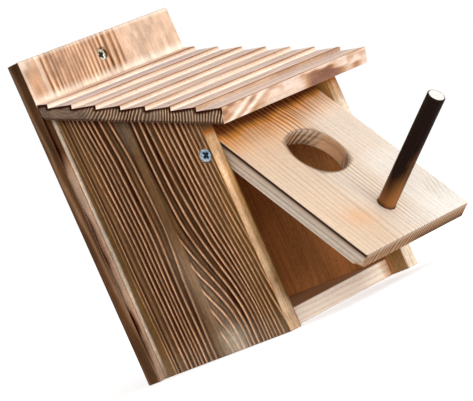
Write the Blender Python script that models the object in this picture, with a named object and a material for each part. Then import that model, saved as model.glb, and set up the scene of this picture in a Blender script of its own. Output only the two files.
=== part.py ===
"""Wooden bird nest box with a front panel that swings up on two screws.

Units are metres, +Z is up, and the front of the box faces -Y.  The origin is the middle of the
floor board's underside.  The pieces are built with the front panel swung part way open, which is
the rest position; its parts hang from an empty on the hinge line.
"""
import math

import bmesh
import bpy
from mathutils import Matrix, Vector

# Gaps that the pieces keep to each other
TOUCH_GAP = 0.0003
SHANK_CLEARANCE = 0.0004
CUT_OVERRUN = 0.002
EASED_EDGE = 0.0006
SMOOTH_LIMIT = math.radians(35.0)

# Back board
BACK_WIDTH = 0.130
BACK_ABOVE_ROOF = 0.0337
BACK_THICKNESS = 0.0085

# Two side boards
SIDE_SET_IN = 0.0053
SIDE_DEPTH = 0.0964
SIDE_THICKNESS = 0.0095

# Floor board
FLOOR_THICKNESS = 0.0095
FLOOR_BEHIND_PANEL = 0.0018

# Roof board: one thick board whose top is cut into steps
ROOF_PAST_SIDES = 0.0053
ROOF_SLOPE = math.radians(20.0)
ROOF_REAR_HEIGHT = 0.1543
ROOF_THICKNESS = 0.0090
ROOF_STEP_LENGTH = 0.0170
ROOF_STEP_DROP = 0.0024
ROOF_STEPS = 8
ROOF_FIRST_LIP = 0.0050
ROOF_CORNER_RADIUS = 0.0030
ROOF_CORNER_SEGMENTS = 5

# Front panel
PANEL_SIDE_CLEARANCE = 0.0021
PANEL_THICKNESS = 0.0098
PANEL_ABOVE_PIVOT = 0.0155
PANEL_LIFT = 0.0003
PANEL_BEHIND_SIDES = 0.0002
PIVOT_BELOW_ROOF = 0.0180
OPEN_ANGLE = math.radians(35.4)

# Matched edge of the front panel: a thin groove behind the face, and a broken corner at its foot
EDGE_GROOVE_WIDTH = 0.0010
EDGE_GROOVE_DEPTH = 0.0012
EDGE_GROOVE_BEHIND_FACE = 0.0012
CHIP_WIDTH = 0.0045
CHIP_HEIGHT = 0.0028
CHIP_FRONT_DEPTH = 0.0030

# Entrance hole and perch
HOLE_DIAMETER = 0.0350
HOLE_HEIGHT = 0.0710
HOLE_SIDES = 64
PERCH_DIAMETER = 0.0100
PERCH_REACH = 0.0714
PERCH_HEIGHT = 0.0225
PERCH_SOCKET_DEPTH = 0.0080
PERCH_END_CHAMFER = 0.0005
PERCH_SIDES = 40

# Countersunk cross-head screws
PIVOT_SHANK_DIAMETER = 0.0035
PIVOT_HEAD_DIAMETER = 0.0072
PIVOT_LENGTH = 0.0250
PIVOT_HEAD_DEPTH = 0.0002
HANGER_SHANK_DIAMETER = 0.0030
HANGER_HEAD_DIAMETER = 0.0058
HANGER_BELOW_TOP = 0.0120
HANGER_HEAD_DEPTH = 0.0011
HANGER_TIP_COVER = 0.0005
HEAD_RIM = 0.0004
HEAD_CONE_ANGLE = math.radians(45.0)
TIP_CONE_ANGLE = math.radians(30.0)
CROSS_LENGTH_SHARE = 0.62
CROSS_WIDTH_SHARE = 0.15
CROSS_DEPTH_SHARE = 0.22
CROSS_FOOT_SHARE = 0.55
SCREW_SIDES = 32

# Wire nails
NAIL_DIAMETER = 0.0014
NAIL_HEAD_DIAMETER = 0.0024
NAIL_HEAD_THICKNESS = 0.0005
NAIL_HEAD_DEPTH = 0.0002
NAIL_LENGTH = 0.0250
NAIL_SIDES = 10

# Where the nails stand along the boards they hold, as shares of each joint's length
BACK_NAIL_SHARES = (0.16, 0.48, 0.80)
FLOOR_NAIL_SHARES = (0.18, 0.82)
BACK_FLOOR_NAIL_SHARES = (0.22, 0.78)
ROOF_NAIL_STEPS = (1, 3, 5)
ROOF_NAIL_TREAD_SHARE = 0.5

# Places worked out from the sizes above
BACK_HEIGHT = ROOF_REAR_HEIGHT + BACK_ABOVE_ROOF
SIDE_OUTER_X = BACK_WIDTH / 2 - SIDE_SET_IN
SIDE_INNER_X = SIDE_OUTER_X - SIDE_THICKNESS
SIDE_MIDDLE_X = SIDE_OUTER_X - SIDE_THICKNESS / 2
PANEL_FACE_DEPTH = SIDE_DEPTH - PANEL_BEHIND_SIDES
PIVOT_DEPTH = PANEL_FACE_DEPTH - PANEL_THICKNESS / 2
FLOOR_FRONT_DEPTH = PANEL_FACE_DEPTH - PANEL_THICKNESS - FLOOR_BEHIND_PANEL
FLOOR_DEPTH = FLOOR_FRONT_DEPTH - TOUCH_GAP
BACK_FACE_Y = FLOOR_DEPTH / 2 + TOUCH_GAP
PIVOT_HEIGHT = ROOF_REAR_HEIGHT - SIDE_DEPTH * math.tan(ROOF_SLOPE) - PIVOT_BELOW_ROOF
PIVOT = Vector((0, BACK_FACE_Y - PIVOT_DEPTH, PIVOT_HEIGHT))
PANEL_BELOW_PIVOT = PIVOT_HEIGHT - PANEL_LIFT
PANEL_HALF_WIDTH = SIDE_INNER_X - PANEL_SIDE_CLEARANCE
ROOF_HALF_WIDTH = SIDE_OUTER_X + ROOF_PAST_SIDES
PERCH_RADIUS = PERCH_DIAMETER / 2

# Plain finishes: colour, roughness and how far the surface is metal
FINISHES = {
    "charred_pine": ((0.26, 0.15, 0.075), 0.72, 0.0),
    "pale_pine": ((0.82, 0.66, 0.48), 0.65, 0.0),
    "peach_pine": ((0.72, 0.47, 0.29), 0.65, 0.0),
    "roof_pine": ((0.84, 0.71, 0.60), 0.68, 0.0),
    "dark_dowel": ((0.13, 0.055, 0.02), 0.45, 0.0),
    "bright_zinc": ((0.62, 0.68, 0.72), 0.30, 1.0),
    "nail_steel": ((0.30, 0.29, 0.28), 0.45, 1.0),
}


def clear_scene():
    """Remove every object that the file opened with."""
    for existing in list(bpy.data.objects):
        bpy.data.objects.remove(existing, do_unlink=True)


def make_material(name):
    """Return a plain Principled material for a finish of the table."""
    colour, roughness, metallic = FINISHES[name]
    material = bpy.data.materials.new(name)
    material.use_nodes = True
    shader = material.node_tree.nodes["Principled BSDF"]
    shader.inputs["Base Color"].default_value = (*colour, 1.0)
    shader.inputs["Roughness"].default_value = roughness
    shader.inputs["Metallic"].default_value = metallic
    return material


def link_object(name, bm, material=None):
    """Turn a bmesh into a linked object with outward faces."""
    bmesh.ops.recalc_face_normals(bm, faces=bm.faces)
    mesh = bpy.data.meshes.new(name)
    bm.to_mesh(mesh)
    bm.free()
    if material:
        mesh.materials.append(material)
    item = bpy.data.objects.new(name, mesh)
    bpy.context.scene.collection.objects.link(item)
    return item


def extrude_outline(bm, outline, travel):
    """Fill a closed outline of points and extrude it along a vector."""
    corners = [bm.verts.new(point) for point in outline]
    base = bm.faces.new(corners)
    grown = bmesh.ops.extrude_face_region(bm, geom=[base])
    moved = [item for item in grown["geom"] if isinstance(item, bmesh.types.BMVert)]
    bmesh.ops.translate(bm, verts=moved, vec=travel)


def add_block(bm, low, high):
    """Add a block between two opposite corners."""
    low = Vector(low)
    size = Vector(high) - low
    matrix = Matrix.Translation(low + size / 2) @ Matrix.Diagonal((*size, 1))
    bmesh.ops.create_cube(bm, size=1, matrix=matrix)


def add_turned(bm, profile, sides, matrix):
    """Turn a profile of (radius, height) points, from axis to axis, about a matrix's local Z."""
    # A point on the axis is a ring of one vertex, so the faces that reach it are triangles
    rings = []
    for radius, height in profile:
        count = sides if radius else 1
        turns = [index * math.tau / count for index in range(count)]
        ring = [Vector((radius * math.cos(turn), radius * math.sin(turn), height)) for turn in turns]
        rings.append([bm.verts.new(matrix @ point) for point in ring])
    for upper, lower in zip(rings, rings[1:]):
        for index in range(sides):
            corners = [
                upper[index % len(upper)],
                upper[(index + 1) % len(upper)],
                lower[(index + 1) % len(lower)],
                lower[index % len(lower)],
            ]
            bm.faces.new(dict.fromkeys(corners))


def ease_edges(item):
    """Take the sharp arris off a sawn board."""
    bevel = item.modifiers.new("eased_edges", 'BEVEL')
    bevel.width = EASED_EDGE
    bevel.segments = 2
    bevel.limit_method = 'ANGLE'


def cut_with(item, cutter, name):
    """Cut one object by another, and keep the cutter as a hidden guide."""
    cutter.hide_render = True
    cutter.display_type = 'WIRE'
    boolean = item.modifiers.new(name, 'BOOLEAN')
    boolean.operation = 'DIFFERENCE'
    boolean.solver = 'EXACT'
    boolean.object = cutter


def shade_round(item):
    """Shade a turned piece smooth, with its real edges sharp."""
    item.data.shade_smooth()
    item.data.set_sharp_from_angle(angle=SMOOTH_LIMIT)


def pointing(place, direction):
    """Return a matrix that puts local Z along a direction, with its origin at a place."""
    return Matrix.Translation(place) @ Vector(direction).to_track_quat('Z', 'Y').to_matrix().to_4x4()


def roof_point(along, height, x=0.0):
    """Return the point at a distance down the slope and a height above the roof's underside."""
    forward = along * math.cos(ROOF_SLOPE) + height * math.sin(ROOF_SLOPE)
    up = height * math.cos(ROOF_SLOPE) - along * math.sin(ROOF_SLOPE)
    return Vector((x, BACK_FACE_Y - forward, ROOF_REAR_HEIGHT + up))


def underside_height(depth):
    """Return the height of the roof's underside at a depth in front of the back board."""
    return ROOF_REAR_HEIGHT - depth * math.tan(ROOF_SLOPE)


def tread_height(along):
    """Return how high the stepped top is above the underside, at a distance down the slope."""
    past_lip = (along - ROOF_FIRST_LIP) % ROOF_STEP_LENGTH
    return ROOF_THICKNESS - ROOF_STEP_DROP * (1 - past_lip / ROOF_STEP_LENGTH)


def nail_profile():
    """Return the profile of a wire nail whose head's top is at height zero."""
    radius = NAIL_DIAMETER / 2
    point_length = NAIL_DIAMETER
    return [
        (0, 0),
        (NAIL_HEAD_DIAMETER / 2, 0),
        (NAIL_HEAD_DIAMETER / 2, -NAIL_HEAD_THICKNESS),
        (radius, -NAIL_HEAD_THICKNESS),
        (radius, point_length - NAIL_LENGTH),
        (0, -NAIL_LENGTH),
    ]


def nail_hole_profile():
    """Return the profile of the hole that clears a nail all round."""
    shank = NAIL_DIAMETER / 2 + TOUCH_GAP
    head = NAIL_HEAD_DIAMETER / 2 + TOUCH_GAP
    shoulder = -NAIL_HEAD_THICKNESS - TOUCH_GAP
    return [
        (0, CUT_OVERRUN),
        (head, CUT_OVERRUN),
        (head, shoulder),
        (shank, shoulder),
        (shank, -NAIL_LENGTH - TOUCH_GAP),
        (0, -NAIL_LENGTH - TOUCH_GAP),
    ]


def screw_profile(head_diameter, shank_diameter, length):
    """Return the profile of a countersunk screw whose head's top is at height zero."""
    head = head_diameter / 2
    shank = shank_diameter / 2
    neck = -HEAD_RIM - (head - shank) / math.tan(HEAD_CONE_ANGLE)
    tip_start = shank / math.tan(TIP_CONE_ANGLE) - length
    return [(0, 0), (head, 0), (head, -HEAD_RIM), (shank, neck), (shank, tip_start), (0, -length)]


def screw_hole_profile(head_diameter, shank_diameter, length, sunk):
    """Return the profile of the countersunk hole that clears such a screw."""
    head = head_diameter / 2 + SHANK_CLEARANCE
    shank = shank_diameter / 2 + SHANK_CLEARANCE
    rim = -HEAD_RIM - SHANK_CLEARANCE
    neck = rim - (head - shank) / math.tan(HEAD_CONE_ANGLE)
    mouth = sunk + CUT_OVERRUN
    bottom = -length - TOUCH_GAP
    return [(0, mouth), (head, mouth), (head, rim), (shank, neck), (shank, bottom), (0, bottom)]


def add_cross(bm, head_diameter, matrix):
    """Add the tapered cross that cuts a screw head's driver recess."""
    reach = head_diameter * CROSS_LENGTH_SHARE / 2
    half = head_diameter * CROSS_WIDTH_SHARE / 2
    depth = head_diameter * CROSS_DEPTH_SHARE
    quarter = [(half, half), (half, reach), (-half, reach)]
    turned = []
    for turn in range(4):
        spin = Matrix.Rotation(turn * math.tau / 4, 2)
        turned.extend(spin @ Vector(point) for point in quarter)
    top = [bm.verts.new((x, y, CUT_OVERRUN)) for x, y in turned]
    rim = [bm.verts.new((x, y, 0)) for x, y in turned]
    foot = [bm.verts.new((x * CROSS_FOOT_SHARE, y * CROSS_FOOT_SHARE, -depth)) for x, y in turned]
    count = len(turned)
    for upper, lower in ((top, rim), (rim, foot)):
        for index in range(count):
            after = (index + 1) % count
            bm.faces.new((upper[index], upper[after], lower[after], lower[index]))
    bm.faces.new(top)
    bm.faces.new(foot)
    bmesh.ops.transform(bm, matrix=matrix, verts=top + rim + foot)


def make_screw(name, head_diameter, shank_diameter, length, matrix, material):
    """Build a countersunk cross-head screw along a matrix's local Z."""
    bm = bmesh.new()
    add_turned(bm, screw_profile(head_diameter, shank_diameter, length), SCREW_SIDES, matrix)
    screw = link_object(name, bm, material)
    shade_round(screw)
    bm = bmesh.new()
    add_cross(bm, head_diameter, matrix)
    cut_with(screw, link_object(name + "_recess_guide", bm), "driver_recess")
    return screw


def nail_places():
    """List every nail as (name, place of its head's top, outward direction)."""
    places = []
    back_y = BACK_FACE_Y + BACK_THICKNESS - NAIL_HEAD_DEPTH
    floor_z = FLOOR_THICKNESS / 2
    side_height = underside_height(0)
    down = math.cos(ROOF_SLOPE)
    for side_name, hand in (("left", -1), ("right", 1)):
        x = hand * SIDE_MIDDLE_X
        for number, share in enumerate(BACK_NAIL_SHARES, 1):
            place = Vector((x, back_y, side_height * share))
            places.append((f"back_nail_{side_name}_{number}", place, (0, 1, 0)))
        for number, share in enumerate(FLOOR_NAIL_SHARES, 1):
            y = BACK_FACE_Y - FLOOR_FRONT_DEPTH * share
            place = Vector((hand * (SIDE_OUTER_X - NAIL_HEAD_DEPTH), y, floor_z))
            places.append((f"floor_nail_{side_name}_{number}", place, (hand, 0, 0)))
        for number, step in enumerate(ROOF_NAIL_STEPS, 1):
            along = ROOF_FIRST_LIP + (step - ROOF_NAIL_TREAD_SHARE) * ROOF_STEP_LENGTH
            height = tread_height(along) - NAIL_HEAD_DEPTH
            place = roof_point(along, height, x)
            places.append((f"roof_nail_{side_name}_{number}", place, (0, -math.sin(ROOF_SLOPE), down)))
    for number, share in enumerate(BACK_FLOOR_NAIL_SHARES, 1):
        x = SIDE_INNER_X * (2 * share - 1)
        places.append((f"back_nail_floor_{number}", Vector((x, back_y, floor_z)), (0, 1, 0)))
    return places


def nail_cutter(name, wanted):
    """Build one guide that holds the holes of the nails whose names start with given words."""
    bm = bmesh.new()
    for nail_name, place, direction in nail_places():
        if nail_name.startswith(wanted):
            add_turned(bm, nail_hole_profile(), NAIL_SIDES, pointing(place, direction))
    return link_object(name, bm)


def make_nails(material):
    """Build every nail as its own object."""
    for name, place, direction in nail_places():
        bm = bmesh.new()
        add_turned(bm, nail_profile(), NAIL_SIDES, pointing(place, direction))
        shade_round(link_object(name, bm, material))


def make_back_board(material):
    """Build the tall back board with its hanging hole near the top."""
    bm = bmesh.new()
    low = (-BACK_WIDTH / 2, BACK_FACE_Y, 0)
    high = (BACK_WIDTH / 2, BACK_FACE_Y + BACK_THICKNESS, BACK_HEIGHT)
    add_block(bm, low, high)
    board = link_object("back_board", bm, material)
    ease_edges(board)
    bm = bmesh.new()
    hole = screw_hole_profile(
        HANGER_HEAD_DIAMETER, HANGER_SHANK_DIAMETER, BACK_THICKNESS + CUT_OVERRUN, HANGER_HEAD_DEPTH)
    add_turned(bm, hole, SCREW_SIDES, hanger_matrix())
    cut_with(board, link_object("hanging_hole_guide", bm), "hanging_hole")
    cut_with(board, nail_cutter("back_board_nail_guide", "back_nail"), "nail_holes")


def hanger_matrix():
    """Return the place of the hanging screw's head, below the back board's face."""
    place = Vector((0, BACK_FACE_Y + HANGER_HEAD_DEPTH, BACK_HEIGHT - HANGER_BELOW_TOP))
    return pointing(place, (0, -1, 0))


def make_hanging_screw(material):
    """Build the screw in the back board, with its tip just inside the rear face."""
    length = BACK_THICKNESS - HANGER_HEAD_DEPTH - HANGER_TIP_COVER
    make_screw(
        "hanging_screw", HANGER_HEAD_DIAMETER, HANGER_SHANK_DIAMETER, length, hanger_matrix(), material)


def make_side(side_name, hand, material):
    """Build one side board, its top cut to the roof's slope."""
    rear = TOUCH_GAP
    drop = TOUCH_GAP / math.cos(ROOF_SLOPE)
    x = hand * SIDE_INNER_X
    outline = [
        Vector((x, BACK_FACE_Y - rear, 0)),
        Vector((x, BACK_FACE_Y - SIDE_DEPTH, 0)),
        Vector((x, BACK_FACE_Y - SIDE_DEPTH, underside_height(SIDE_DEPTH) - drop)),
        Vector((x, BACK_FACE_Y - rear, underside_height(rear) - drop)),
    ]
    bm = bmesh.new()
    extrude_outline(bm, outline, (hand * SIDE_THICKNESS, 0, 0))
    board = link_object(f"{side_name}_side", bm, material)
    ease_edges(board)
    bm = bmesh.new()
    hole = screw_hole_profile(
        PIVOT_HEAD_DIAMETER, PIVOT_SHANK_DIAMETER, SIDE_THICKNESS + CUT_OVERRUN, PIVOT_HEAD_DEPTH)
    add_turned(bm, hole, SCREW_SIDES, pivot_screw_matrix(hand, PIVOT))
    cut_with(board, link_object(f"{side_name}_pivot_hole_guide", bm), "pivot_hole")
    words = tuple(f"{joint}_nail_{side_name}" for joint in ("back", "floor", "roof"))
    cut_with(board, nail_cutter(f"{side_name}_side_nail_guide", words), "nail_holes")


def make_floor(material):
    """Build the floor board, which stops behind the closed front panel."""
    half = SIDE_INNER_X - TOUCH_GAP
    bm = bmesh.new()
    low = (-half, BACK_FACE_Y - FLOOR_FRONT_DEPTH, 0)
    high = (half, BACK_FACE_Y - TOUCH_GAP, FLOOR_THICKNESS)
    add_block(bm, low, high)
    board = link_object("floor_board", bm, material)
    ease_edges(board)
    words = ("floor_nail", "back_nail_floor")
    cut_with(board, nail_cutter("floor_board_nail_guide", words), "nail_holes")


def roof_outline():
    """Return the roof's end outline as (along the slope, height) points, from the front foot."""
    lean = math.tan(ROOF_SLOPE)
    rear_foot = TOUCH_GAP / math.cos(ROOF_SLOPE)
    front = ROOF_FIRST_LIP + (ROOF_STEPS - 1) * ROOF_STEP_LENGTH
    points = [(front, 0), (front, ROOF_THICKNESS)]
    for number in reversed(range(ROOF_STEPS - 1)):
        lip = ROOF_FIRST_LIP + number * ROOF_STEP_LENGTH
        points.append((lip, ROOF_THICKNESS - ROOF_STEP_DROP))
        points.append((lip, ROOF_THICKNESS))
    rear_height = tread_height(rear_foot - ROOF_THICKNESS * lean)
    points.append((rear_foot - rear_height * lean, rear_height))
    # The upright rear end meets the underside at a right angle plus the slope
    corner_angle = math.pi / 2 + ROOF_SLOPE
    centre_along = rear_foot + ROOF_CORNER_RADIUS / math.tan(corner_angle / 2)
    sweep = math.pi - corner_angle
    for part in range(ROOF_CORNER_SEGMENTS + 1):
        turn = math.pi + ROOF_SLOPE + sweep * part / ROOF_CORNER_SEGMENTS
        along = centre_along + ROOF_CORNER_RADIUS * math.cos(turn)
        points.append((along, ROOF_CORNER_RADIUS * (1 + math.sin(turn))))
    return points


def make_roof(material):
    """Build the sloping roof board with its stepped top."""
    outline = [roof_point(along, height, -ROOF_HALF_WIDTH) for along, height in roof_outline()]
    bm = bmesh.new()
    extrude_outline(bm, outline, (2 * ROOF_HALF_WIDTH, 0, 0))
    board = link_object("roof_board", bm, material)
    cut_with(board, nail_cutter("roof_board_nail_guide", "roof_nail"), "nail_holes")


def on_hinge(item, hinge):
    """Hang an object, modelled with the panel closed, from the hinge line."""
    item.parent = hinge
    return item


def pivot_screw_matrix(hand, origin):
    """Return the place of a pivot screw's head on one side, from the hinge line's middle."""
    head = hand * (SIDE_OUTER_X - PIVOT_HEAD_DEPTH)
    return pointing(Vector(origin) + Vector((head, 0, 0)), (hand, 0, 0))


def make_front_panel(hinge, material):
    """Build the front panel about its hinge line: entrance hole, perch socket and matched edge."""
    half = PANEL_HALF_WIDTH
    face = -PANEL_THICKNESS / 2
    foot = -PANEL_BELOW_PIVOT
    bm = bmesh.new()
    add_block(bm, (-half, face, foot), (half, -face, PANEL_ABOVE_PIVOT))
    panel = on_hinge(link_object("front_panel", bm, material), hinge)
    ease_edges(panel)

    bm = bmesh.new()
    through = PANEL_THICKNESS + 2 * CUT_OVERRUN
    hole = [(0, 0), (HOLE_DIAMETER / 2, 0), (HOLE_DIAMETER / 2, -through), (0, -through)]
    centre = Vector((0, face - CUT_OVERRUN, foot + HOLE_HEIGHT))
    add_turned(bm, hole, HOLE_SIDES, pointing(centre, (0, -1, 0)))
    socket_radius = PERCH_RADIUS + TOUCH_GAP
    socket_floor = -PERCH_SOCKET_DEPTH - CUT_OVERRUN
    socket = [(0, 0), (socket_radius, 0), (socket_radius, socket_floor), (0, socket_floor)]
    centre = Vector((0, face - CUT_OVERRUN, foot + PERCH_HEIGHT))
    add_turned(bm, socket, PERCH_SIDES, pointing(centre, (0, -1, 0)))
    cut_with(panel, on_hinge(link_object("panel_face_guide", bm), hinge), "hole_and_socket")

    bm = bmesh.new()
    pilot_radius = PIVOT_SHANK_DIAMETER / 2 + TOUCH_GAP
    pilot_floor = SIDE_OUTER_X - PIVOT_HEAD_DEPTH - PIVOT_LENGTH - TOUCH_GAP
    pilot_depth = pilot_floor - half - CUT_OVERRUN
    pilot = [(0, 0), (pilot_radius, 0), (pilot_radius, pilot_depth), (0, pilot_depth)]
    for hand in (-1, 1):
        mouth = Vector((hand * (half + CUT_OVERRUN), 0, 0))
        add_turned(bm, pilot, SCREW_SIDES, pointing(mouth, (hand, 0, 0)))
    cut_with(panel, on_hinge(link_object("panel_pilot_guide", bm), hinge), "pilot_holes")

    bm = bmesh.new()
    groove_y = face + EDGE_GROOVE_BEHIND_FACE
    low = (-half - CUT_OVERRUN, groove_y, foot - CUT_OVERRUN)
    high = (-half + EDGE_GROOVE_DEPTH, groove_y + EDGE_GROOVE_WIDTH, PANEL_ABOVE_PIVOT + CUT_OVERRUN)
    add_block(bm, low, high)
    cut_with(panel, on_hinge(link_object("panel_groove_guide", bm), hinge), "edge_groove")

    bm = bmesh.new()
    chip_y = face + CHIP_FRONT_DEPTH
    rear_y = -face + CUT_OVERRUN
    edge_x = -half - CUT_OVERRUN
    below = foot - CUT_OVERRUN
    chip = [
        Vector((edge_x, chip_y, below)),
        Vector((-half + CHIP_WIDTH, rear_y, below)),
        Vector((edge_x, rear_y, below)),
    ]
    extrude_outline(bm, chip, (0, 0, CUT_OVERRUN + CHIP_HEIGHT))
    cut_with(panel, on_hinge(link_object("panel_chip_guide", bm), hinge), "broken_corner")


def make_perch(hinge, material):
    """Build the perch dowel, which stands square to the panel's face."""
    face = -PANEL_THICKNESS / 2
    foot = -PANEL_BELOW_PIVOT
    buried = PERCH_SOCKET_DEPTH - TOUCH_GAP
    length = PERCH_REACH + buried
    small = PERCH_RADIUS - PERCH_END_CHAMFER
    profile = [
        (0, 0),
        (small, 0),
        (PERCH_RADIUS, -PERCH_END_CHAMFER),
        (PERCH_RADIUS, PERCH_END_CHAMFER - length),
        (small, -length),
        (0, -length),
    ]
    bm = bmesh.new()
    tip = Vector((0, face - PERCH_REACH, foot + PERCH_HEIGHT))
    add_turned(bm, profile, PERCH_SIDES, pointing(tip, (0, -1, 0)))
    shade_round(on_hinge(link_object("perch_dowel", bm, material), hinge))


def make_pivot_screw(side_name, hand, hinge, material):
    """Build the screw that the front panel turns on at one side."""
    screw = make_screw(
        f"pivot_screw_{side_name}", PIVOT_HEAD_DIAMETER, PIVOT_SHANK_DIAMETER, PIVOT_LENGTH,
        pivot_screw_matrix(hand, (0, 0, 0)), material)
    on_hinge(screw, hinge)
    on_hinge(bpy.data.objects[screw.name + "_recess_guide"], hinge)


def make_hinge():
    """Return the empty on the hinge line, turned to the rest position."""
    hinge = bpy.data.objects.new("front_hinge", None)
    bpy.context.scene.collection.objects.link(hinge)
    hinge.location = PIVOT
    hinge.rotation_euler = (-OPEN_ANGLE, 0, 0)
    return hinge


def main():
    """Build the whole box."""
    clear_scene()
    finishes = {name: make_material(name) for name in FINISHES}

    make_back_board(finishes["peach_pine"])
    make_hanging_screw(finishes["bright_zinc"])
    for side_name, hand in (("left", -1), ("right", 1)):
        make_side(side_name, hand, finishes["charred_pine"])
    make_floor(finishes["pale_pine"])
    make_roof(finishes["roof_pine"])
    make_nails(finishes["nail_steel"])

    hinge = make_hinge()
    make_front_panel(hinge, finishes["pale_pine"])
    make_perch(hinge, finishes["dark_dowel"])
    for side_name, hand in (("left", -1), ("right", 1)):
        make_pivot_screw(side_name, hand, hinge, finishes["bright_zinc"])


if __name__ == "__main__":
    main()
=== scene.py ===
"""Looks of a wooden bird nest box: scorched and brushed boards, screws, nails and a plain studio.

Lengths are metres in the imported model's frame: +Z is up, the entrance faces -Y, and the origin is
the middle of the floor board's underside. Each board is a closed mesh whose growth rings are worked
out at every point, as if it was sawn from a log: the same rings raise its grain and colour it.
"""

import logging
import math
from dataclasses import dataclass, field
from enum import Enum
from typing import Sequence

import bpy
import numpy as np
from mathutils import Matrix, Vector


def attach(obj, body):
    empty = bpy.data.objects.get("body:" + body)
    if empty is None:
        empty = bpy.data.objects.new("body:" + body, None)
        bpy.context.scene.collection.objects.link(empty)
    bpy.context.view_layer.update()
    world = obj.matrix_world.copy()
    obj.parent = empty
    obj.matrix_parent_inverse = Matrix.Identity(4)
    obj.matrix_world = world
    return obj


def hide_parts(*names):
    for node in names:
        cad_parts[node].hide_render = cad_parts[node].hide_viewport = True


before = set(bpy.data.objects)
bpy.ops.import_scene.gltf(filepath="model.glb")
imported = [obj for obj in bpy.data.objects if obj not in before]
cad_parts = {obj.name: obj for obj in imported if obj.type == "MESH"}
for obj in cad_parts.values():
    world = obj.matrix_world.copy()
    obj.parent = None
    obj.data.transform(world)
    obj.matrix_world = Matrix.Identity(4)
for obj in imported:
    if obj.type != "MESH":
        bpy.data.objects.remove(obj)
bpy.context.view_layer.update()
LOG = logging.getLogger("nest_box")

Array = np.ndarray
Mesh = bpy.types.Mesh
Material = bpy.types.Material
Socket = bpy.types.NodeSocket
Colour = tuple[float, float, float]
Stops = tuple[tuple[float, Colour], ...]

MM = 0.001
WELD = 1e-7
BACK_FACE_Y = 0.04245
PIVOT = Vector((0.0, -0.04885, 0.101213))
OPEN_ANGLE = math.radians(35.4)
ROOF_SLOPE = math.radians(20.0)
ROOF_REAR_HEIGHT = 0.1543
TOUCH_GAP = 0.3 * MM
HOLE_UP = 71.0 * MM
HANGER_UP = 176.0 * MM


def tone(red: float, green: float, blue: float) -> Colour:
    """Turn a colour as it is seen on a screen, 0 to 255, into the linear values that shaders use.

    Args:
        red: Red share of the seen colour.
        green: Green share of the seen colour.
        blue: Blue share of the seen colour.

    Returns:
        The three linear values.
    """
    seen = [value / 255 for value in (red, green, blue)]
    return tuple(v / 12.92 if v <= 0.04045 else ((v + 0.055) / 1.055) ** 2.4 for v in seen)


def smooth_step(low: float | Array, high: float, values: Array) -> Array:
    """Rise smoothly from 0 at low to 1 at high: t squared times (3 - 2t).

    Args:
        low: Where the rise starts.
        high: Where the rise ends; it may be below low, for a fall.
        values: Where to work it out.

    Returns:
        An array of the same shape, from 0 to 1.
    """
    share = np.clip((values - low) / (high - low), 0, 1)
    return share * share * (3 - 2 * share)


def bump(centre: float | Array, width: float, values: Array) -> Array:
    """Return a bell: e to the power of minus the squared distance over width squared.

    Args:
        centre: Where it is 1.
        width: How far from there it has fallen to 0.37.
        values: Where to work it out.

    Returns:
        An array of the same shape, from 0 to 1.
    """
    return np.exp(-(((values - centre) / width) ** 2))


class SmoothNoise:
    """Seeded value noise on a repeating cube of random numbers, for whole arrays at once."""

    def __init__(self, seed: int, size: int = 32) -> None:
        """Fill the cube.

        Args:
            seed: Seed of the random numbers, so each run gives the same noise.
            size: Numbers along each side of the cube before it repeats.
        """
        self.size = size
        self.cube = np.random.default_rng(seed).random((size, size, size)) * 2 - 1

    def __call__(self, points: Array, *scale: float) -> Array:
        """Blend the eight numbers round each point by smoothed shares of its place between them.

        Args:
            points: Places, one row of three each.
            scale: Cells per unit along each axis, one number for all or one for each.

        Returns:
            One value from -1 to 1 for each row.
        """
        at = points * np.array(scale)
        cell = np.floor(at).astype(int)
        part = at - cell
        part = part * part * (3 - 2 * part)
        total = np.zeros(len(points))
        for corner in np.ndindex(2, 2, 2):
            index = (cell + corner) % self.size
            weight = np.prod(np.where(corner, part, 1 - part), axis=1)
            total += weight * self.cube[index[:, 0], index[:, 1], index[:, 2]]
        return total


# Growth rings


@dataclass(frozen=True)
class LogGrain:
    """Rings of a log whose heart runs along the board: distance from the heart over ring spacing."""

    heart: tuple[float, float]
    spacing: float
    seed: int
    wander: float = 0.35
    taper: float = 0.0
    contrast: float = 1.0
    widest: float = 100.0

    def at(self, place: Array) -> tuple[Array, Array]:
        """Work out the rings at places in the board.

        The heart's depth changes evenly along the board by taper, which makes pointed arches on a
        face, and smooth noise bends the rings by wander rings.

        Args:
            place: Across, through and along places in millimetres.

        Returns:
            The ring number with its fraction, and the share of contrast between the rings.
        """
        noise = SmoothNoise(self.seed)
        across = place[:, 0] - self.heart[0]
        depth = place[:, 1] - self.heart[1] - self.taper * place[:, 2]
        radius = np.hypot(across, depth)
        rings = radius / self.spacing
        rings += self.wander * noise(place, 0.05, 0.08, 0.022)
        rings += 0.3 * self.wander * noise(place + 7.3, 0.21, 0.3, 0.07)
        width = self.spacing * radius / np.maximum(np.hypot(across, self.taper * depth), 0.5)
        rings, left = narrowed(rings, width, self.widest)
        return rings, self.contrast * left


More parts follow.
